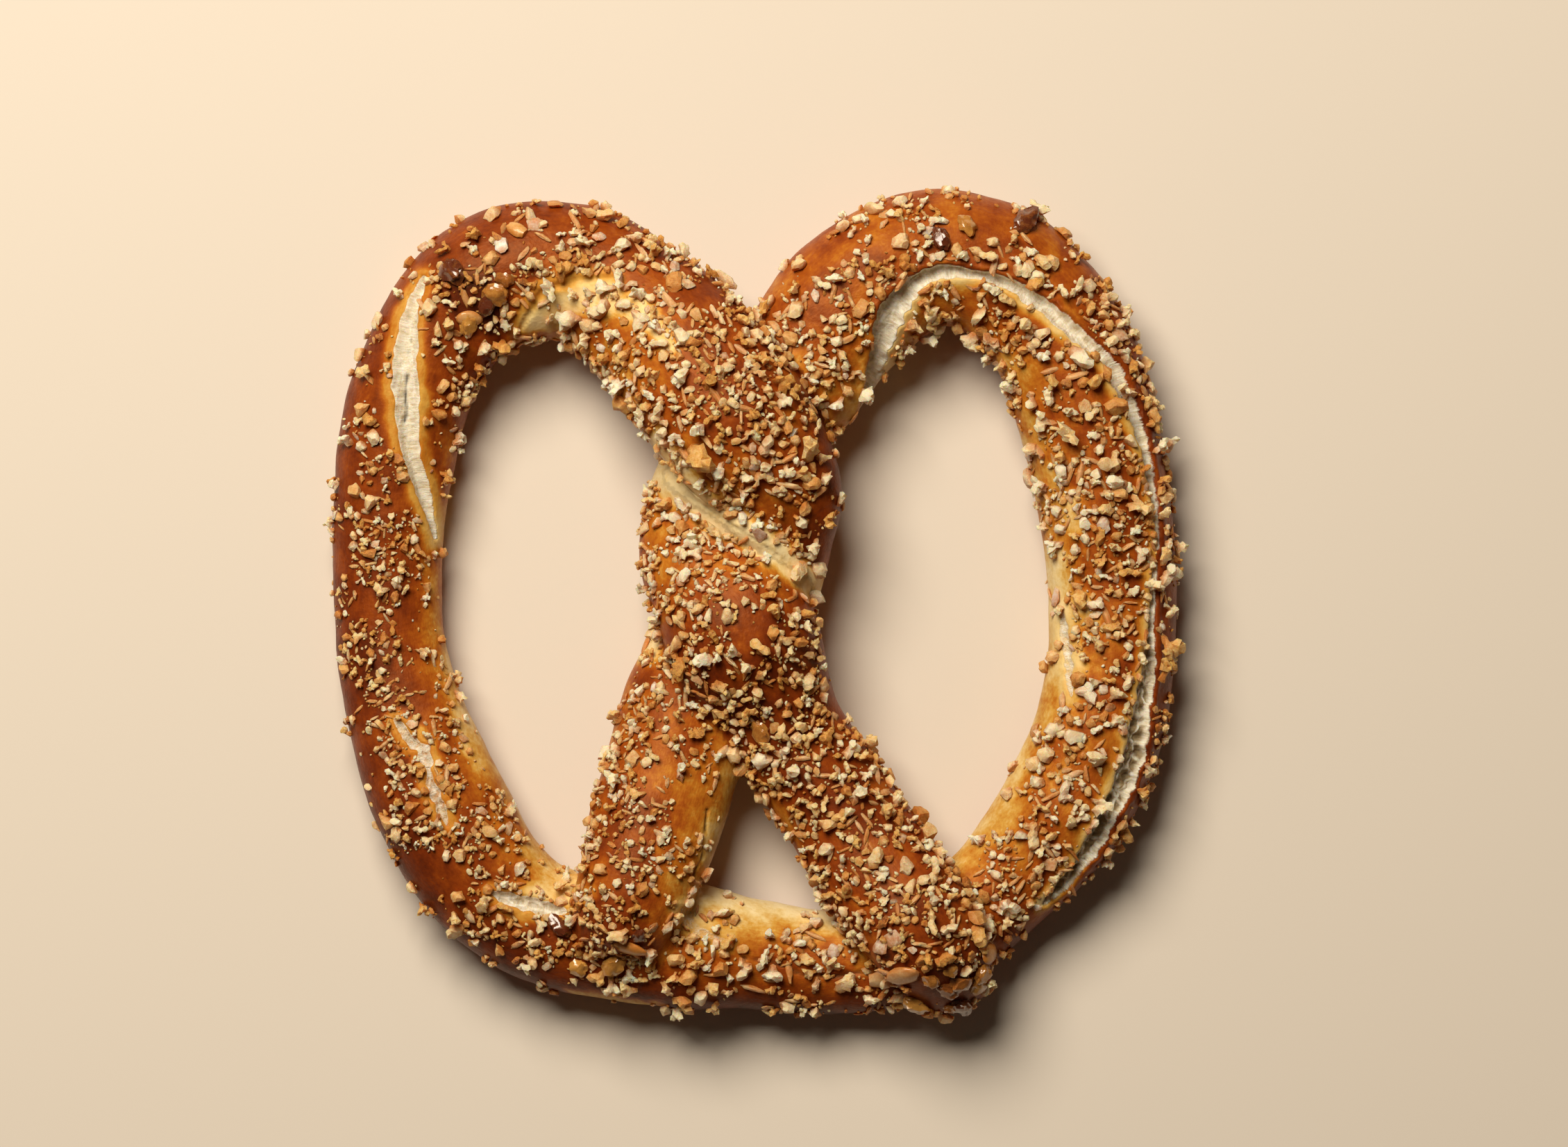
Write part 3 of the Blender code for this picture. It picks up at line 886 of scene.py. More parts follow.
def clump(seed, balls):
    draw = np.random.default_rng(seed)
    deselect_all()
    parts = []
    places = []
    for number in range(balls):
        radius = draw.uniform(*BALL_RADII)
        place = np.zeros(3)
        if number:
            neighbour, neighbour_radius = places[draw.integers(number)]
            step = draw.normal(size=3) * (1.0, 1.0, 0.6)
            place = neighbour + step / np.linalg.norm(step) * BALL_OVERLAP * (radius + neighbour_radius)
        places.append((place, radius))
        bpy.ops.mesh.primitive_ico_sphere_add(subdivisions=2, radius=radius, location=place)
        bpy.ops.transform.resize(value=tuple(draw.uniform(0.65, 1.35, size=3)))
        bpy.ops.transform.rotate(value=draw.uniform(0, 3), orient_axis="XYZ"[number % 3])
        parts.append(bpy.context.object)
    for part in parts:
        part.select_set(True)
    bpy.context.view_layer.objects.active = parts[0]
    bpy.ops.object.join()
    whole = bpy.context.object
    bpy.ops.object.transform_apply(location=True, rotation=True, scale=True)
    apply_modifier(whole, "REMESH", mode="VOXEL", voxel_size=CLUMP_VOXEL)
    to_triangles(whole)
    points = points_of(whole.data)
    rough = np.array(
        [noise.noise(Vector(p * 5.0 + seed)) + 0.5 * noise.noise(Vector(p * 11.0 + seed)) for p in points]
    )
    middle = (points.min(0) + points.max(0)) / 2
    points = (points - middle) * (1 + CLUMP_ROUGHNESS * rough)[:, None]
    store_points(whole.data, points / (points.max(0) - points.min(0)).max())
    apply_modifier(whole, "DECIMATE", ratio=CLUMP_FACES / len(whole.data.polygons))
    to_triangles(whole)
    return taken_apart(whole)


CLUMP_SHAPES = [clump(700 + number, 3 + number % 4) for number in range(14)]
print("a clump has", len(CLUMP_SHAPES[0][1]), "triangles")

# %% [markdown]
# The clumps, which are the largest crumbs, are sown first, and the finest crumb last, so that it fills what
# is left. Most fall where the topping is thick, and none where the skin has burst or where another crumb
# already lies. Soft noise makes them gather in drifts with bare, glossy crust between, as sticky crumbs do.

# %% Sow the crumbs
# Crumbs rolled off steep sides. None stays where the upward part of the skin's normal is under the first of
# these numbers, and from the second on the slope takes none away.
FACES_UP = (-0.10, 0.62)
CLEAR_OF_TRAY = 1.6 * MM
CELL = 3.0 * MM  # the side of the boxes in which taken places are kept


class Sower:
    """Finds places on the dough and remembers which are taken."""

    def __init__(self, obj, seed):
        mesh = obj.data
        self.draw = np.random.default_rng(seed)
        points = points_of(mesh)
        corners = np.array([tuple(p.vertices) for p in mesh.polygons])
        a, b, c = (points[corners[:, k]] for k in range(3))
        normals = np.cross(b - a, c - a)
        area = np.linalg.norm(normals, axis=1)
        middles = (a + b + c) / 3
        self.corners = (a, b, c)
        self.normals = normals / np.maximum(area, 1e-18)[:, None]
        stored_values = {}
        for name in ("split", "bake"):
            values = np.empty(len(points))
            mesh.attributes[name].data.foreach_get("value", values)
            stored_values[name] = values[corners].mean(1)
        self.outside = stored_values["split"]
        self.bake = stored_values["bake"]
        self.coarseness = coarseness_at(middles)
        self.thickness = topping_at(middles)
        self.weight = area * ramp(self.normals[:, 2], *FACES_UP)
        self.weight[middles[:, 2] < CLEAR_OF_TRAY] = 0.0
        self.taken = {}

    def free(self, point, radius, closeness):
        key = tuple((point // CELL).astype(int))
        for dx in (-1, 0, 1):
            for dy in (-1, 0, 1):
                for dz in (-1, 0, 1):
                    for other, size in self.taken.get((key[0] + dx, key[1] + dy, key[2] + dz), ()):
                        if np.sum((other - point) ** 2) < (closeness * (radius + size)) ** 2:
                            return False
        self.taken.setdefault(key, []).append((point, radius))
        return True

    def sow(self, count, smallest, largest, closeness, stray, clear_of_split=0.25):
        """At most count crumbs of smallest to largest mm, mostly small; a few stray out of the drifts."""
        weight = self.weight * np.maximum(self.thickness, stray)
        weight[self.outside < clear_of_split] = 0.0
        chosen = self.draw.choice(len(weight), size=count * 3, p=weight / weight.sum())
        rows = []
        for triangle in chosen:
            if len(rows) == count:
                break
            u, v = self.draw.random(2)
            if u + v > 1:
                u, v = 1 - u, 1 - v
            a, b, c = (corner[triangle] for corner in self.corners)
            point = a + (b - a) * u + (c - a) * v
            size = smallest * (largest / smallest) ** (self.draw.random() ** 1.5)
            size *= self.coarseness[triangle] * MM
            if self.free(point, size / 2, closeness):
                rows.append((point, self.normals[triangle], size, self.bake[triangle], self.draw.random()))
        return rows


CRUMB_TOP = cad_box[1][2] + 0.9 * MM  # no crumb stands higher than this
SHARP_EDGE = math.radians(38)  # a crumb's edge that turns more than this stays sharp


def joined_crumbs(name, shapes, rows, seed, bedding, lean):
    """Copies the shapes to the rows' places in one mesh, each bedded in the crust and turned its own way."""
    draw = np.random.default_rng(seed)
    all_points, all_corners, tints, toasts, heights = [], [], [], [], []
    first = 0
    for point, normal, size, bake, tint in rows:
        points, corners = shapes[draw.integers(len(shapes))]
        normal = Vector(normal + draw.normal(scale=lean, size=3)).normalized()
        spin = Matrix.Rotation(draw.uniform(0, 2 * math.pi), 3, "Z")
        turn = normal.to_track_quat("Z", "Y").to_matrix() @ spin
        stretched = points * draw.uniform(0.85, 1.15, size=3) * size
        rise = -stretched[:, 2].min() - bedding * size
        placed = (stretched + (0, 0, rise)) @ np.array(turn).T + point
        placed[:, 2] -= max(0.0, placed[:, 2].max() - CRUMB_TOP)
        all_points.append(placed)
        all_corners.append(corners + first)
        first += len(points)
        tints.append(np.full(len(points), tint))
        toasts.append(np.full(len(points), bake))
        heights.append((stretched[:, 2] + rise) / size)
    points = np.vstack(all_points)
    corners = np.vstack(all_corners)
    mesh = bpy.data.meshes.new(name)
    mesh.vertices.add(len(points))
    mesh.vertices.foreach_set("co", points.astype(np.float32).ravel())
    mesh.loops.add(corners.size)
    mesh.loops.foreach_set("vertex_index", corners.ravel().astype(np.int32))
    mesh.polygons.add(len(corners))
    mesh.polygons.foreach_set("loop_start", np.arange(0, corners.size, 3, dtype=np.int32))
    mesh.update(calc_edges=True)
    mesh.validate()
    store_values(mesh, "tint", np.concatenate(tints))
    store_values(mesh, "toast", np.concatenate(toasts))
    store_values(mesh, "height", np.concatenate(heights))
    obj = bpy.data.objects.new(name, mesh)
    bpy.context.scene.collection.objects.link(obj)
    mesh.shade_smooth()
    mesh.set_sharp_from_angle(angle=SHARP_EDGE)
    print(f"{name}: {len(rows)} crumbs, {len(corners)} triangles")
    return obj


sower = Sower(dough, 20)

# %% [markdown]
# Lumps that stand out singly are set one by one, each with a place, a length and a tint of its own.

# %% Set the large lumps one by one
# x, y and length in millimetres, then the tint: 0 is the palest of the kind and 1 the darkest.
ALMOND_PLACES = (
    (-50.2, 50.2, 3.4, 0.4),
    (25.4, -64.0, 5.2, 0.1),
    (22.0, -65.0, 4.2, 0.0),
    (-22.0, -59.3, 4.8, 0.6),
    (40.3, -60.7, 4.8, 0.6),
    (-41.7, 65.4, 3.4, 0.5),
)
CARAMEL_PLACES = (
    (-52.8, 58.4, 4.2, 0.85),
    (-45.2, 54.6, 4.6, 0.30),
    (-46.8, 52.8, 3.4, 0.95),
    (-44.0, 56.6, 3.0, 0.5),
    (-50.4, 49.0, 3.0, 0.10),
    (32.1, 63.9, 3.2, 0.95),
    (36.5, 66.2, 3.4, 0.2),
    (46.8, 66.8, 4.2, 0.85),
    (-34.3, -56.3, 3.6, 0.9),
    (-25.1, -62.2, 4.0, 0.1),
    (-31.1, -63.0, 3.4, 0.0),
    (-20.6, -57.2, 2.6, 0.9),
    (27.9, -69.0, 4.0, 0.1),
    (35.5, -65.6, 3.6, 0.5),
    (38.4, -66.2, 3.4, 0.2),
    (35.6, -69.6, 3.6, 0.8),
    (30.4, -65.0, 3.0, 0.35),
    (33.2, -66.8, 3.2, 0.65),
    (33.9, -70.2, 2.8, 0.5),
    (39.0, -64.2, 3.2, 0.3),
    (33.6, -63.2, 2.6, 0.2),
    (0.7, -21.9, 3.6, 0.3),
)
CLUMP_PLACES = (
    (-22.4, 56.2, 4.8, 0.15),
    (-31.7, 49.8, 5.0, 0.2),
    (-33.4, 47.7, 3.6, 0.3),
    (-15.4, 57.6, 3.0, 0.15),
    (-67.4, 40.6, 3.6, 0.6),
    (-12.7, -69.0, 4.4, 0.7),
    (-7.8, -69.4, 3.2, 0.6),
    (-2.3, -63.1, 4.0, 0.3),
    (15.0, -65.9, 4.2, 0.5),
    (10.3, -66.4, 3.4, 0.15),
    (17.5, -61.5, 3.0, 0.3),
    (19.9, -69.2, 3.4, 0.3),
    (8.7, -54.6, 3.0, 0.3),
    (13.4, -52.4, 3.0, 0.35),
    (5.1, -58.2, 3.0, 0.25),
    (55.5, 29.6, 5.0, 0.55),
    (61.5, 25.2, 4.4, 0.5),
    (65.0, 37.6, 4.0, 0.3),
    (50.6, 32.6, 4.0, 0.3),
    (48.4, 36.0, 3.6, 0.3),
    (50.4, 21.8, 3.6, 0.2),
    (65.6, 17.6, 4.2, 0.6),
    (59.9, 39.8, 5.4, 0.85),
    (71.2, 28.4, 4.4, 0.1),
    (71.6, 5.0, 4.2, 0.2),
    (71.4, -1.2, 3.8, 0.35),
    (71.4, -7.4, 5.2, 0.75),
    (70.6, -11.0, 4.0, 0.85),
    (9.6, 11.0, 3.6, 0.3),
    (7.2, 6.2, 3.8, 0.5),
    (-12.6, 4.5, 3.0, 0.1),
    (1.9, 27.3, 4.2, 0.3),
    (-9.1, 26.0, 5.0, 0.85),
    (4.8, 23.3, 3.2, 0.2),
    (7.4, 22.6, 3.4, 0.7),
    (2.6, -1.4, 3.4, 0.8),
    (1.0, -7.4, 3.8, 0.75),
    (-6.4, -13.2, 3.4, 0.7),
    (-12.6, -2.4, 3.2, 0.6),
    (-36.4, 50.6, 3.0, 0.4),
    (-29.0, 54.6, 2.8, 0.3),
    (-26.8, 51.4, 4.4, 0.25),
    (-23.2, 52.0, 2.6, 0.3),
    (-20.8, 49.6, 3.6, 0.25),
    (-29.6, 46.6, 3.4, 0.4),
    (39.2, 60.8, 4.4, 0.55),
    (-35.2, 55.0, 4.0, 0.25),
    (-20.6, 54.0, 3.6, 0.15),
    (-39.0, 45.1, 3.4, 0.5),
    (-25.5, 47.1, 3.6, 0.25),
    (-31.6, 54.2, 2.6, 0.4),
)
WHITE_PLACES = (
    (21.9, -58.9, 5.0, 0.1),
    (24.0, -57.6, 3.4, 0.2),
    (13.4, -60.4, 2.8, 0.0),
    (-44.4, 62.6, 3.0, 0.0),
    (-38.8, 66.4, 3.0, 0.1),
    (-27.6, 64.2, 3.2, 0.1),
    (60.4, 14.2, 3.6, 0.1),
    (52.6, 1.4, 3.2, 0.1),
    (0.6, 12.6, 3.6, 0.0),
    (-0.4, 24.4, 2.6, 0.0),
    (9.9, -6.9, 2.4, 0.0),
    (44.2, -53.3, 3.0, 0.1),
)


CLEARING = 0.72  # a lump set one by one keeps this share of its length clear round its middle
HAND_TOAST = 0.6  # the bake that its colour is toasted by
DROP_HEIGHT = 0.1  # metres above the tray


def set_by_hand(obj, places):
    """Drops each place onto the dough from above."""
    rows = []
    for x, y, size, tint in places:
        start = Vector(((x + ROUTE_SHIFT[0]) * MM, (y + ROUTE_SHIFT[1]) * MM, DROP_HEIGHT))
        hit, point, normal, _ = obj.ray_cast(start, Vector((0, 0, -1)))
        if hit:
            sower.free(np.array(point), size * CLEARING * MM, 0.0)
            rows.append((np.array(point), np.array(normal), size * MM, HAND_TOAST, tint))
    return rows


# %% Make one mesh for each kind of crumb
rows = set_by_hand(dough, ALMOND_PLACES)
almonds = joined_crumbs("almond_pieces", ALMOND_SHAPES, rows, seed=61, bedding=0.12, lean=0.2)
rows = set_by_hand(dough, CARAMEL_PLACES)
caramel = joined_crumbs("caramel_lumps", CARAMEL_SHAPES, rows, seed=62, bedding=0.15, lean=0.2)
rows = set_by_hand(dough, CLUMP_PLACES)
rows += sower.sow(count=950, smallest=1.9, largest=4.0, closeness=0.70, stray=0.01)
clumps = joined_crumbs("sugar_clumps", CLUMP_SHAPES, rows, seed=67, bedding=0.16, lean=0.3)
rows = sower.sow(count=520, smallest=1.1, largest=2.2, closeness=0.62, stray=0.01)
slivers = joined_crumbs("nut_slivers", SLIVER_SHAPES, rows, seed=63, bedding=0.06, lean=0.18)
rows = sower.sow(count=2100, smallest=1.4, largest=3.5, closeness=0.66, stray=0.01)
nibs = joined_crumbs("nut_nibs", NIB_SHAPES, rows, seed=64, bedding=0.14, lean=0.35)
rows = set_by_hand(dough, WHITE_PLACES)
rows += sower.sow(count=620, smallest=1.4, largest=3.3, closeness=0.62, stray=0.01)
flakes = joined_crumbs("sugar_flakes", FLAKE_SHAPES, rows, seed=65, bedding=0.02, lean=0.3)
rows = sower.sow(count=3000, smallest=0.5, largest=1.2, closeness=0.6, stray=0.02)
fines = joined_crumbs("fine_crumb", FINE_SHAPES, rows, seed=66, bedding=0.1, lean=0.5)

# %% [markdown]
# ## Materials
#
# All of them read Object coordinates or the values stored on the mesh, so a pattern stays where it is from
# every side. One effect is used by every material of the food and is made once, as a node group: a mottling
# that breaks up an even colour.

# %% Node helpers


def new_material(name):
    material = bpy.data.materials.new(name)
    material.use_nodes = True
    tree = material.node_tree
    return material, tree, tree.nodes["Principled BSDF"]


def add(tree, kind, inputs=None, **settings):
    """Adds a node, sets its settings, and gives its inputs a value or a link."""
    node = tree.nodes.new(kind)
    for name, value in settings.items():
        setattr(node, name, value)
    for name, value in (inputs or {}).items():
        socket = node.inputs[name]
        if isinstance(value, bpy.types.NodeSocket):
            tree.links.new(value, socket)
        else:
            socket.default_value = value
    return node


def stored(tree, name):
    return add(tree, "ShaderNodeAttribute", attribute_name=name).outputs["Fac"]


def maths(tree, operation, a, b=0.0, c=0.0):
    return add(tree, "ShaderNodeMath", {0: a, 1: b, 2: c}, operation=operation).outputs[0]


def scaled(tree, value, middle, share):
    """How far value is from middle, times share."""
    return maths(tree, "MULTIPLY", maths(tree, "SUBTRACT", value, middle), share)


def between(tree, value, low, high):
    """0 at low, 1 at high, smooth between; low may be the larger."""
    node = add(tree, "ShaderNodeMapRange", {"Value": value}, interpolation_type="SMOOTHSTEP")
    node.inputs["From Min"].default_value = low
    node.inputs["From Max"].default_value = high
    return node.outputs["Result"]


def mixed(tree, share, first, second):
    node = add(tree, "ShaderNodeMix", data_type="RGBA")
    for socket, value in ((node.inputs[0], share), (node.inputs[6], first), (node.inputs[7], second)):
        if isinstance(value, bpy.types.NodeSocket):
            tree.links.new(value, socket)
        else:
            socket.default_value = value
    return node.outputs[2]


def colours(tree, value, stops):
    """A colour ramp: stops are (place, (r, g, b)) in order."""
    node = add(tree, "ShaderNodeValToRGB", {"Fac": value})
    ramp_stops = node.color_ramp.elements
    for place, _ in stops[1:-1]:
        ramp_stops.new(place)
    for element, (place, colour) in zip(ramp_stops, stops):
        element.position = place
        element.color = (*colour, 1.0)
    return node.outputs["Color"]


def object_place(tree):
    return add(tree, "ShaderNodeTexCoord").outputs["Object"]


def noise_value(tree, vector, size, detail=3.0, roughness=0.5):
    """Noise whose humps are size millimetres apart."""
    settings = {"Vector": vector, "Scale": 1.0 / (size * MM), "Detail": detail, "Roughness": roughness}
    return add(tree, "ShaderNodeTexNoise", settings).outputs["Fac"]


# %% The shared mottling


def effect_group(name, inputs, outputs):
    group = bpy.data.node_groups.new(name, "ShaderNodeTree")
    for label, kind, value in inputs:
        socket = group.interface.new_socket(label, in_out="INPUT", socket_type=kind)
        if value is not None:
            socket.default_value = value
    for label, kind in outputs:
        group.interface.new_socket(label, in_out="OUTPUT", socket_type=kind)
    return group, group.nodes.new("NodeGroupInput"), group.nodes.new("NodeGroupOutput")


def mottle_group():
    """Blotches at two sizes, from 0 to 1 round 0.5."""
    group, given, result = effect_group(
        "mottle",
        [("Vector", "NodeSocketVector", None), ("Size mm", "NodeSocketFloat", 3.0)],
        [("Value", "NodeSocketFloat")],
    )
    place = given.outputs["Vector"]
    scale = maths(group, "DIVIDE", 1.0 / MM, given.outputs["Size mm"])
    fine_scale = maths(group, "MULTIPLY", scale, 4.3)
    coarse = add(group, "ShaderNodeTexNoise", {"Vector": place, "Scale": scale, "Detail": 2.0})
    fine = add(group, "ShaderNodeTexNoise", {"Vector": place, "Scale": fine_scale, "Detail": 3.0})
    share = maths(group, "MULTIPLY", fine.outputs["Fac"], 0.4)
    group.links.new(maths(group, "MULTIPLY_ADD", coarse.outputs["Fac"], 0.6, share), result.inputs["Value"])
    return group


MOTTLE = mottle_group()


def mottle(tree, vector, size):
    node = add(tree, "ShaderNodeGroup", node_tree=MOTTLE)
    node.inputs["Size mm"].default_value = size
    tree.links.new(vector, node.inputs["Vector"])
    return node.outputs["Value"]


def relief(tree, height, distance):
    """A bump in which a height of 1 stands distance millimetres high."""
    settings = {"Height": height, "Distance": distance * MM, "Strength": 1.0}
    return add(tree, "ShaderNodeBump", settings).outputs["Normal"]


# %% [markdown]
# ## The crust's finish
#
# A crust is brushed with egg, so it is glossy and runs from cream through gold to mahogany as it browns. One
# colour ramp reads the stored bake for that, and the mottling breaks it up. Bread is matt and pale, with
# fibres that run across a split, and it lets some light in. Both are in one material, because the edge
# between them is ragged and would be hard to cut into the mesh: a mask made from the stored distance to the
# split joins them.

# %% The crust and the bread in its splits
CRUST_STOPS = (
    (0.00, (0.87, 0.68, 0.35)),
    (0.12, (0.78, 0.55, 0.21)),
    (0.24, (0.64, 0.335, 0.057)),
    (0.36, (0.50, 0.165, 0.014)),
    (0.48, (0.37, 0.084, 0.007)),
    (0.60, (0.26, 0.045, 0.0045)),
    (0.74, (0.165, 0.024, 0.0035)),
    (0.88, (0.09, 0.013, 0.003)),
    (1.00, (0.05, 0.008, 0.0030)),
)
BREAD_STOPS = ((0.28, (0.46, 0.34, 0.17)), (0.42, (0.74, 0.62, 0.42)), (0.56, (0.89, 0.82, 0.67)))
# A crack's colour is painted shade: the dark inside a narrow gap in the crust.
CRACK_SHADE_COLOUR = (0.06, 0.035, 0.018, 1.0)
# The holes in torn bread are the same bread, so their darker colour is painted shade.
PIT_SHADE_COLOUR = (0.30, 0.19, 0.07, 1.0)
BREAD_GLOW = 0.6  # the share of light that passes into the bread and comes out warm nearby
WEB_HOLE = 1.9  # mm across a hole between the fibres of torn bread
CRUST_BLOTCH = 3.4  # mm
CRUST_STREAK = 1.6  # mm, along the rope
BLOTCH_BAKE = 0.55  # how strongly blotches change the bake
STREAK_BAKE = 0.35  # and how strongly streaks do
GLOSSIEST = 0.30  # the crust's least roughness
GLOSS_LOSS = 0.24  # what a blotch adds to it at most
HALO = 2.8  # mm beside a split over which the crust goes from pale to its full bake
HALO_BAKE = 0.30  # the share of the bake that is left at the split's edge
HALO_GAIN = 0.70  # and what the full distance adds
FIBRE_LENGTH = 0.28  # the pattern's scale across a split, so that fibres run long that way
FIBRE_RISE = 3.4  # a fibre's relief over that of the crust's grain
HOLE_SINK = -4.0  # and a web hole's
CRUST_GRAIN = 0.10  # mm of relief
BREAD_ROUGHNESS = 0.85


def crust_material():
    material, tree, shader = new_material("baked crust")
    place = object_place(tree)
    rope_place = add(tree, "ShaderNodeAttribute", attribute_name="rope_place").outputs["Vector"]
    stretched = add(tree, "ShaderNodeMapping", {"Vector": rope_place, "Scale": (0.35, 1.0, 1.0)}).outputs[0]
    outside = stored(tree, "split")
    blotch = mottle(tree, place, CRUST_BLOTCH)
    streak = mottle(tree, stretched, CRUST_STREAK)
    # Browning: the stored bake, broken up, and paler next to a split unless the split has a hard lip there.
    streaks = scaled(tree, streak, 0.5, STREAK_BAKE)
    uneven = maths(tree, "ADD", scaled(tree, blotch, 0.5, BLOTCH_BAKE), streaks)
    halo = between(tree, outside, 0.1, HALO)
    hard_lip = between(tree, stored(tree, "lip"), -0.2, 0.4)
    kept = maths(tree, "MULTIPLY_ADD", maths(tree, "MAXIMUM", halo, hard_lip), HALO_GAIN, HALO_BAKE)
    bake = maths(tree, "MULTIPLY", maths(tree, "ADD", stored(tree, "bake"), uneven), kept)
    crust = colours(tree, bake, CRUST_STOPS)
    # Bread shows inside the split, as far as the split is open. Its fibres run across the split.
    torn_place = add(tree, "ShaderNodeAttribute", attribute_name="fibre_place").outputs["Vector"]
    fibre_settings = {"Vector": torn_place, "Scale": (1.0, FIBRE_LENGTH, 1.0)}
    fibre_place = add(tree, "ShaderNodeMapping", fibre_settings).outputs[0]
    fibre = noise_value(tree, fibre_place, 0.45, 4.0, 0.65)
    # The bread is darker where its fibres sink in the bump: painted shade between them, on top of its own
    # mottled tone.
    grain_and_fibre_shade = maths(tree, "MULTIPLY_ADD", mottle(tree, place, 1.3), 0.45, maths(tree, "MULTIPLY", fibre, 0.55))
    bread = colours(tree, grain_and_fibre_shade, BREAD_STOPS)
    opened = maths(tree, "MULTIPLY", between(tree, outside, 0.15, -0.25), stored(tree, "bread"))
    ragged = maths(tree, "ADD", opened, scaled(tree, mottle(tree, place, 1.0), 0.5, 0.9))
    inside = maths(tree, "MULTIPLY", between(tree, ragged, 0.25, 0.65), between(tree, outside, 0.2, 0.0))
    skin = mixed(tree, inside, crust, bread)
    # Where the bread is torn open, a web of pale fibres hangs between sunken holes, and the holes are painted
    # dark as their shade.
    web_place = add(tree, "ShaderNodeMapping", {"Vector": torn_place, "Scale": (0.55, 1.0, 1.0)}).outputs[0]
    web_settings = {"Vector": web_place, "Scale": 1.0 / (WEB_HOLE * MM)}
    web = add(tree, "ShaderNodeTexVoronoi", web_settings, feature="DISTANCE_TO_EDGE").outputs["Distance"]
    hole = maths(tree, "MULTIPLY", between(tree, web, 0.03, 0.17), stored(tree, "open_bread"))
    skin = mixed(tree, maths(tree, "MULTIPLY", hole, 0.9), skin, PIT_SHADE_COLOUR)
    # Cracks are painted dark, as the shade inside their gaps.
    skin = mixed(tree, maths(tree, "MULTIPLY", stored(tree, "crack"), 0.9), skin, CRACK_SHADE_COLOUR)
    tree.links.new(skin, shader.inputs["Base Color"])
    gloss = maths(tree, "MULTIPLY_ADD", blotch, GLOSS_LOSS, GLOSSIEST)
    rough = maths(tree, "MAXIMUM", gloss, maths(tree, "MULTIPLY", inside, BREAD_ROUGHNESS))
    tree.links.new(rough, shader.inputs["Roughness"])
    fine = noise_value(tree, place, 0.8, 4.0, 0.6)
    grain_height = maths(tree, "ADD", fine, streak)
    height = maths(tree, "MULTIPLY_ADD", maths(tree, "MULTIPLY", fibre, inside), FIBRE_RISE, grain_height)
    height = maths(tree, "MULTIPLY_ADD", hole, HOLE_SINK, height)
    tree.links.new(relief(tree, height, CRUST_GRAIN), shader.inputs["Normal"])
    tree.links.new(maths(tree, "MULTIPLY", opened, BREAD_GLOW), shader.inputs["Subsurface Weight"])
    shader.inputs["Subsurface Radius"].default_value = (1.0, 0.6, 0.3)
    shader.inputs["Subsurface Scale"].default_value = 2.0 * MM
    shader.inputs["Specular IOR Level"].default_value = 0.3
    shader.inputs["Specular Tint"].default_value = (1.0, 0.54, 0.24, 1.0)
    return material


dough.data.materials.append(crust_material())

# %% [markdown]
# ## The crumbs' finishes
#
# Nut and coarse sugar are matt and a little translucent, and each crumb has its own tint. One function makes
# all of the finishes: a ramp of colours for the kind, read by each crumb's own tint and by how dark the crust
# is below it. Syrup has soaked the foot of a crumb, and that darker foot is also painted shade where the
# crumb sits in the crust. The caramelised lumps are smooth, dark amber and glossy.

# %% The crumbs' finishes
NUT_STOPS = (
    (0.00, (0.86, 0.73, 0.51)),
    (0.25, (0.82, 0.62, 0.35)),
    (0.45, (0.74, 0.47, 0.20)),
    (0.62, (0.66, 0.35, 0.11)),
    (0.78, (0.56, 0.24, 0.05)),
    (0.92, (0.34, 0.12, 0.03)),
    (1.00, (0.15, 0.045, 0.015)),
)
CLUMP_STOPS = (
    (0.00, (0.88, 0.78, 0.57)),
    (0.32, (0.84, 0.67, 0.40)),
    (0.60, (0.76, 0.48, 0.18)),
    (0.80, (0.64, 0.32, 0.07)),
    (1.00, (0.36, 0.14, 0.030)),
)
FLAKE_STOPS = (
    (0.0, (0.91, 0.86, 0.74)),
    (0.4, (0.86, 0.73, 0.51)),
    (0.75, (0.76, 0.52, 0.24)),
    (1.0, (0.52, 0.25, 0.08)),
)
SLIVER_STOPS = (
    (0.0, (0.82, 0.62, 0.38)),
    (0.4, (0.74, 0.45, 0.20)),
    (0.75, (0.60, 0.27, 0.09)),
    (1.0, (0.32, 0.11, 0.03)),
)
ALMOND_STOPS = ((0.0, (0.80, 0.56, 0.28)), (0.5, (0.68, 0.35, 0.09)), (1.0, (0.34, 0.12, 0.02)))
CARAMEL_STOPS = ((0.0, (0.56, 0.26, 0.05)), (0.40, (0.34, 0.11, 0.018)), (0.75, (0.11, 0.022, 0.007)))


SYRUP_AND_SHADE_COLOUR = (0.50, 0.16, 0.022, 1.0)  # sugar syrup that has soaked the foot of each crumb, and painted shade where it sits in the crust
CRUMB_GLOW = 0.6  # the share of light that passes into a crumb and comes out warm nearby
CARAMEL_GLOW = 0.15
GLOW_DEPTH = 1.4 * MM
USUAL_BAKE = 0.55  # the crust's bake on which a crumb keeps its own tint


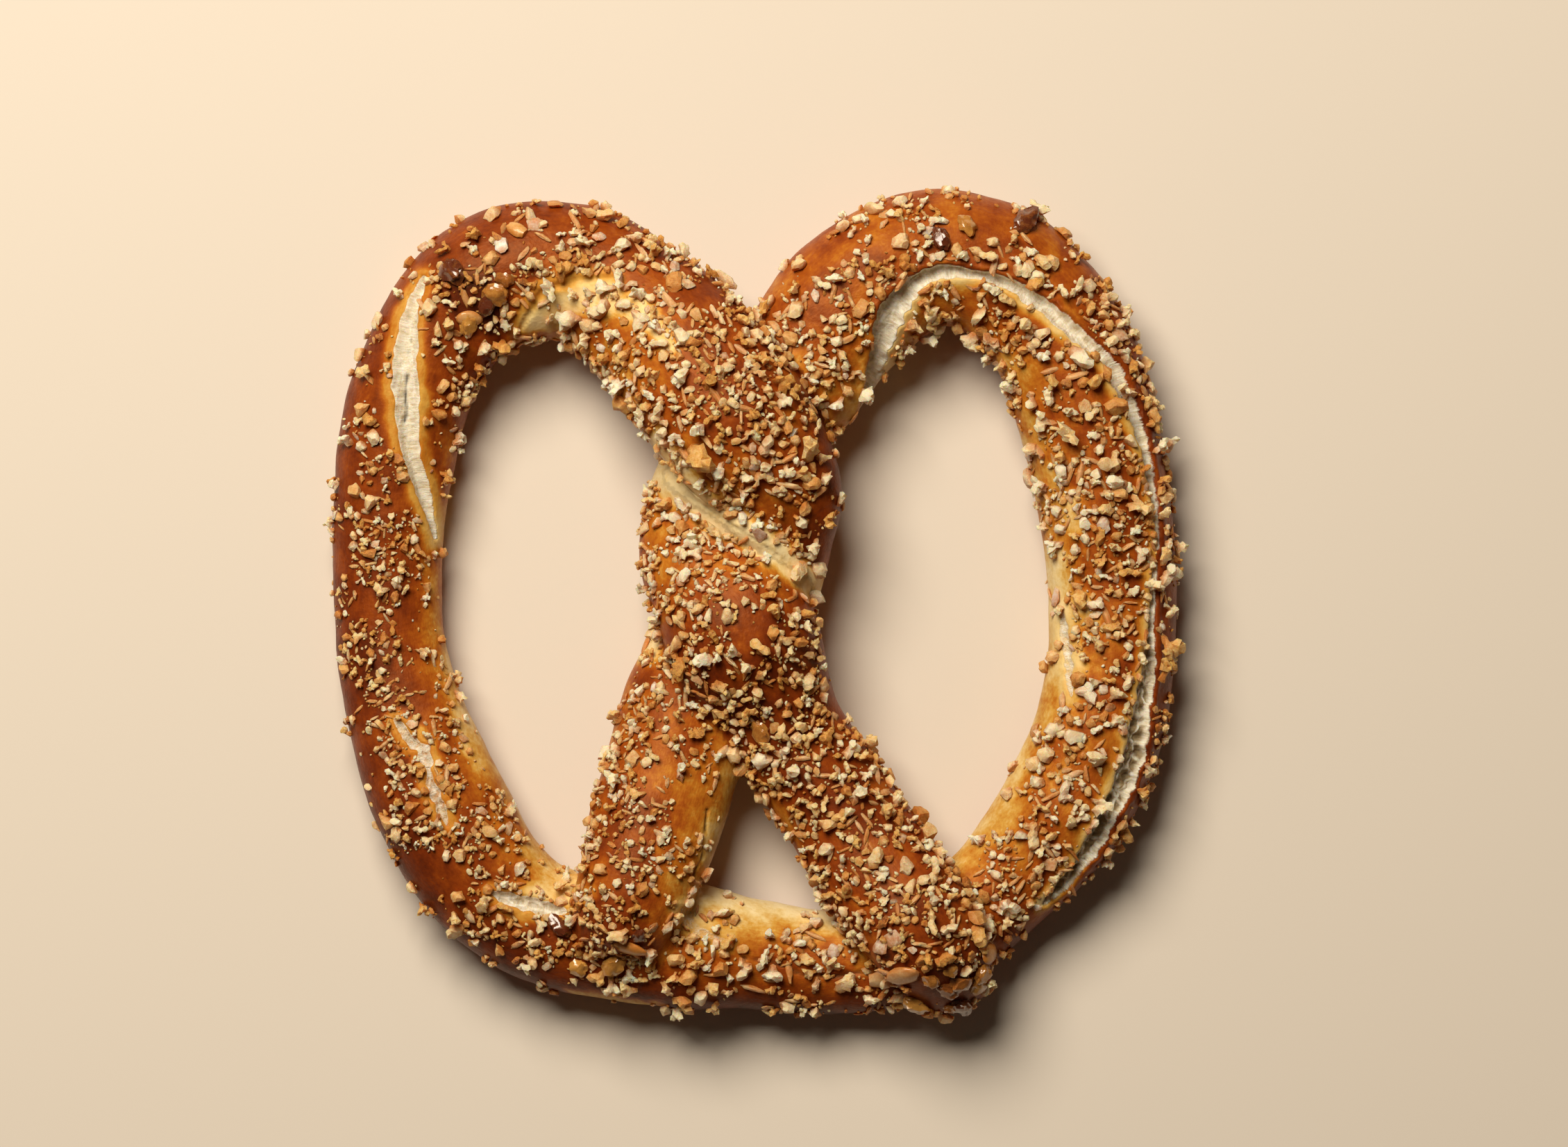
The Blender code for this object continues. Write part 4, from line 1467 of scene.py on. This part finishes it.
def crumb_material(name, stops, roughness, toasting, relief_mm, glow=CRUMB_GLOW, coat=0.0, syrup_and_shade_share=0.9):
    """Crumbs tinted one by one, toasted darker on darker crust; their feet darken as soaked sugar and painted
    shade.
    """
    material, tree, shader = new_material(name)
    place = object_place(tree)
    toast = scaled(tree, stored(tree, "toast"), USUAL_BAKE, toasting)
    uneven = scaled(tree, mottle(tree, place, 1.1), 0.5, 0.9)
    value = maths(tree, "ADD", maths(tree, "MULTIPLY_ADD", stored(tree, "tint"), 0.85, toast), uneven)
    height = maths(tree, "ADD", stored(tree, "height"), scaled(tree, mottle(tree, place, 1.6), 0.5, 0.8))
    # The foot of each crumb turns a syrup orange: soaked sugar, and painted shade where it sits in the crust.
    syrup_and_shade = maths(tree, "MULTIPLY", between(tree, height, 0.55, 0.0), syrup_and_shade_share)
    tree.links.new(mixed(tree, syrup_and_shade, colours(tree, value, stops), SYRUP_AND_SHADE_COLOUR), shader.inputs["Base Color"])
    shader.inputs["Roughness"].default_value = roughness
    shader.inputs["Specular Tint"].default_value = (1.0, 0.82, 0.60, 1.0)
    shader.inputs["Subsurface Weight"].default_value = glow
    shader.inputs["Coat Weight"].default_value = coat
    shader.inputs["Coat Roughness"].default_value = 0.08
    shader.inputs["Subsurface Radius"].default_value = (1.0, 0.45, 0.18)
    shader.inputs["Subsurface Scale"].default_value = GLOW_DEPTH
    fine = noise_value(tree, place, 0.55, 4.0, 0.65)
    tree.links.new(relief(tree, fine, relief_mm), shader.inputs["Normal"])
    return material


finish = crumb_material("chopped nut", NUT_STOPS, roughness=0.55, toasting=0.35, relief_mm=0.22)
nibs.data.materials.append(finish)
fines.data.materials.append(finish)
finish = crumb_material("sugar and flour clumps", CLUMP_STOPS, roughness=0.62, toasting=0.35, relief_mm=0.27)
clumps.data.materials.append(finish)
finish = crumb_material("sugar flakes", FLAKE_STOPS, roughness=0.5, toasting=0.25, relief_mm=0.12)
flakes.data.materials.append(finish)
finish = crumb_material("toasted slivers", SLIVER_STOPS, roughness=0.5, toasting=0.35, relief_mm=0.15)
slivers.data.materials.append(finish)
finish = crumb_material(
    "toasted almond", ALMOND_STOPS, roughness=0.35, toasting=0.0, relief_mm=0.06, glow=0.3, coat=0.3
)
almonds.data.materials.append(finish)
finish = crumb_material(
    "caramelised sugar",
    CARAMEL_STOPS,
    roughness=0.2,
    toasting=0.0,
    relief_mm=0.08,
    glow=CARAMEL_GLOW,
    coat=1.0,
    syrup_and_shade_share=0.0,
)
caramel.data.materials.append(finish)

# %% [markdown]
# ## What each piece stands for
#
# The dough replaces the plain solid, and the crumbs ride with it on the pretzel's only body.

# %% Tie the pieces to the frame
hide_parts("pretzel")
for piece in (dough, clumps, nibs, flakes, fines, slivers, almonds, caramel):
    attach(piece, "root")

# %% [markdown]
# ## Floor, light and camera
#
# The pretzel lies on a plain pale floor. One large soft light stands high at the upper left, and a dim pale
# sky fills the shadows. The camera looks straight down through a long lens.

# %% Floor
FLOOR_SIZE = 3.0  # metres
FLOOR_COLOUR = (0.76, 0.66, 0.54, 1.0)
deselect_all()
bpy.ops.mesh.primitive_plane_add(size=FLOOR_SIZE, location=(0, 0, 0))
floor = bpy.context.object
floor.name = "floor"
material, tree, shader = new_material("pale floor")
shader.inputs["Base Color"].default_value = FLOOR_COLOUR
shader.inputs["Roughness"].default_value = 0.8
floor.data.materials.append(material)

# %% Light
KEY_DISTANCE = 1.0
KEY_AZIMUTH = math.radians(116)  # from +X towards +Y, so the light stands at the upper left
KEY_ELEVATION = math.radians(54)
KEY_WIDTH = 0.6  # metres across
KEY_WATTS = 13.7
KEY_COLOUR = (1.0, 0.93, 0.82)
SKY_COLOUR = (1.0, 0.82, 0.62, 1.0)
SKY_STRENGTH = 0.035
key_data = bpy.data.lights.new("key", "AREA")
key_data.shape = "DISK"
key_data.size = KEY_WIDTH
key_data.energy = KEY_WATTS
key_data.color = KEY_COLOUR
key = bpy.data.objects.new("key", key_data)
key.location = (
    KEY_DISTANCE * math.cos(KEY_ELEVATION) * math.cos(KEY_AZIMUTH),
    KEY_DISTANCE * math.cos(KEY_ELEVATION) * math.sin(KEY_AZIMUTH),
    KEY_DISTANCE * math.sin(KEY_ELEVATION),
)
key.rotation_euler = (-key.location).to_track_quat("-Z", "Y").to_euler()
bpy.context.scene.collection.objects.link(key)
world = bpy.data.worlds.new("soft sky")
world.use_nodes = True
sky = world.node_tree.nodes["Background"]
sky.inputs["Color"].default_value = SKY_COLOUR
sky.inputs["Strength"].default_value = SKY_STRENGTH
bpy.context.scene.world = world
bpy.context.scene.view_settings.view_transform = "Standard"

# %% Camera
FRAME_WIDTH = 0.2776  # metres of the floor that the picture is wide
CAMERA_HEIGHT = 1.2
SENSOR_WIDTH = 36.0  # mm
VIEW_CENTRE = (4.73, 5.65)  # the place on the route's own grid that the camera looks down on, mm
camera_data = bpy.data.cameras.new("camera")
camera_data.sensor_width = SENSOR_WIDTH
camera_data.lens = SENSOR_WIDTH * CAMERA_HEIGHT / FRAME_WIDTH
camera = bpy.data.objects.new("camera", camera_data)
camera.location = (
    (VIEW_CENTRE[0] + ROUTE_SHIFT[0]) * MM,
    (VIEW_CENTRE[1] + ROUTE_SHIFT[1]) * MM,
    CAMERA_HEIGHT,
)
bpy.context.scene.collection.objects.link(camera)
bpy.context.scene.camera = camera
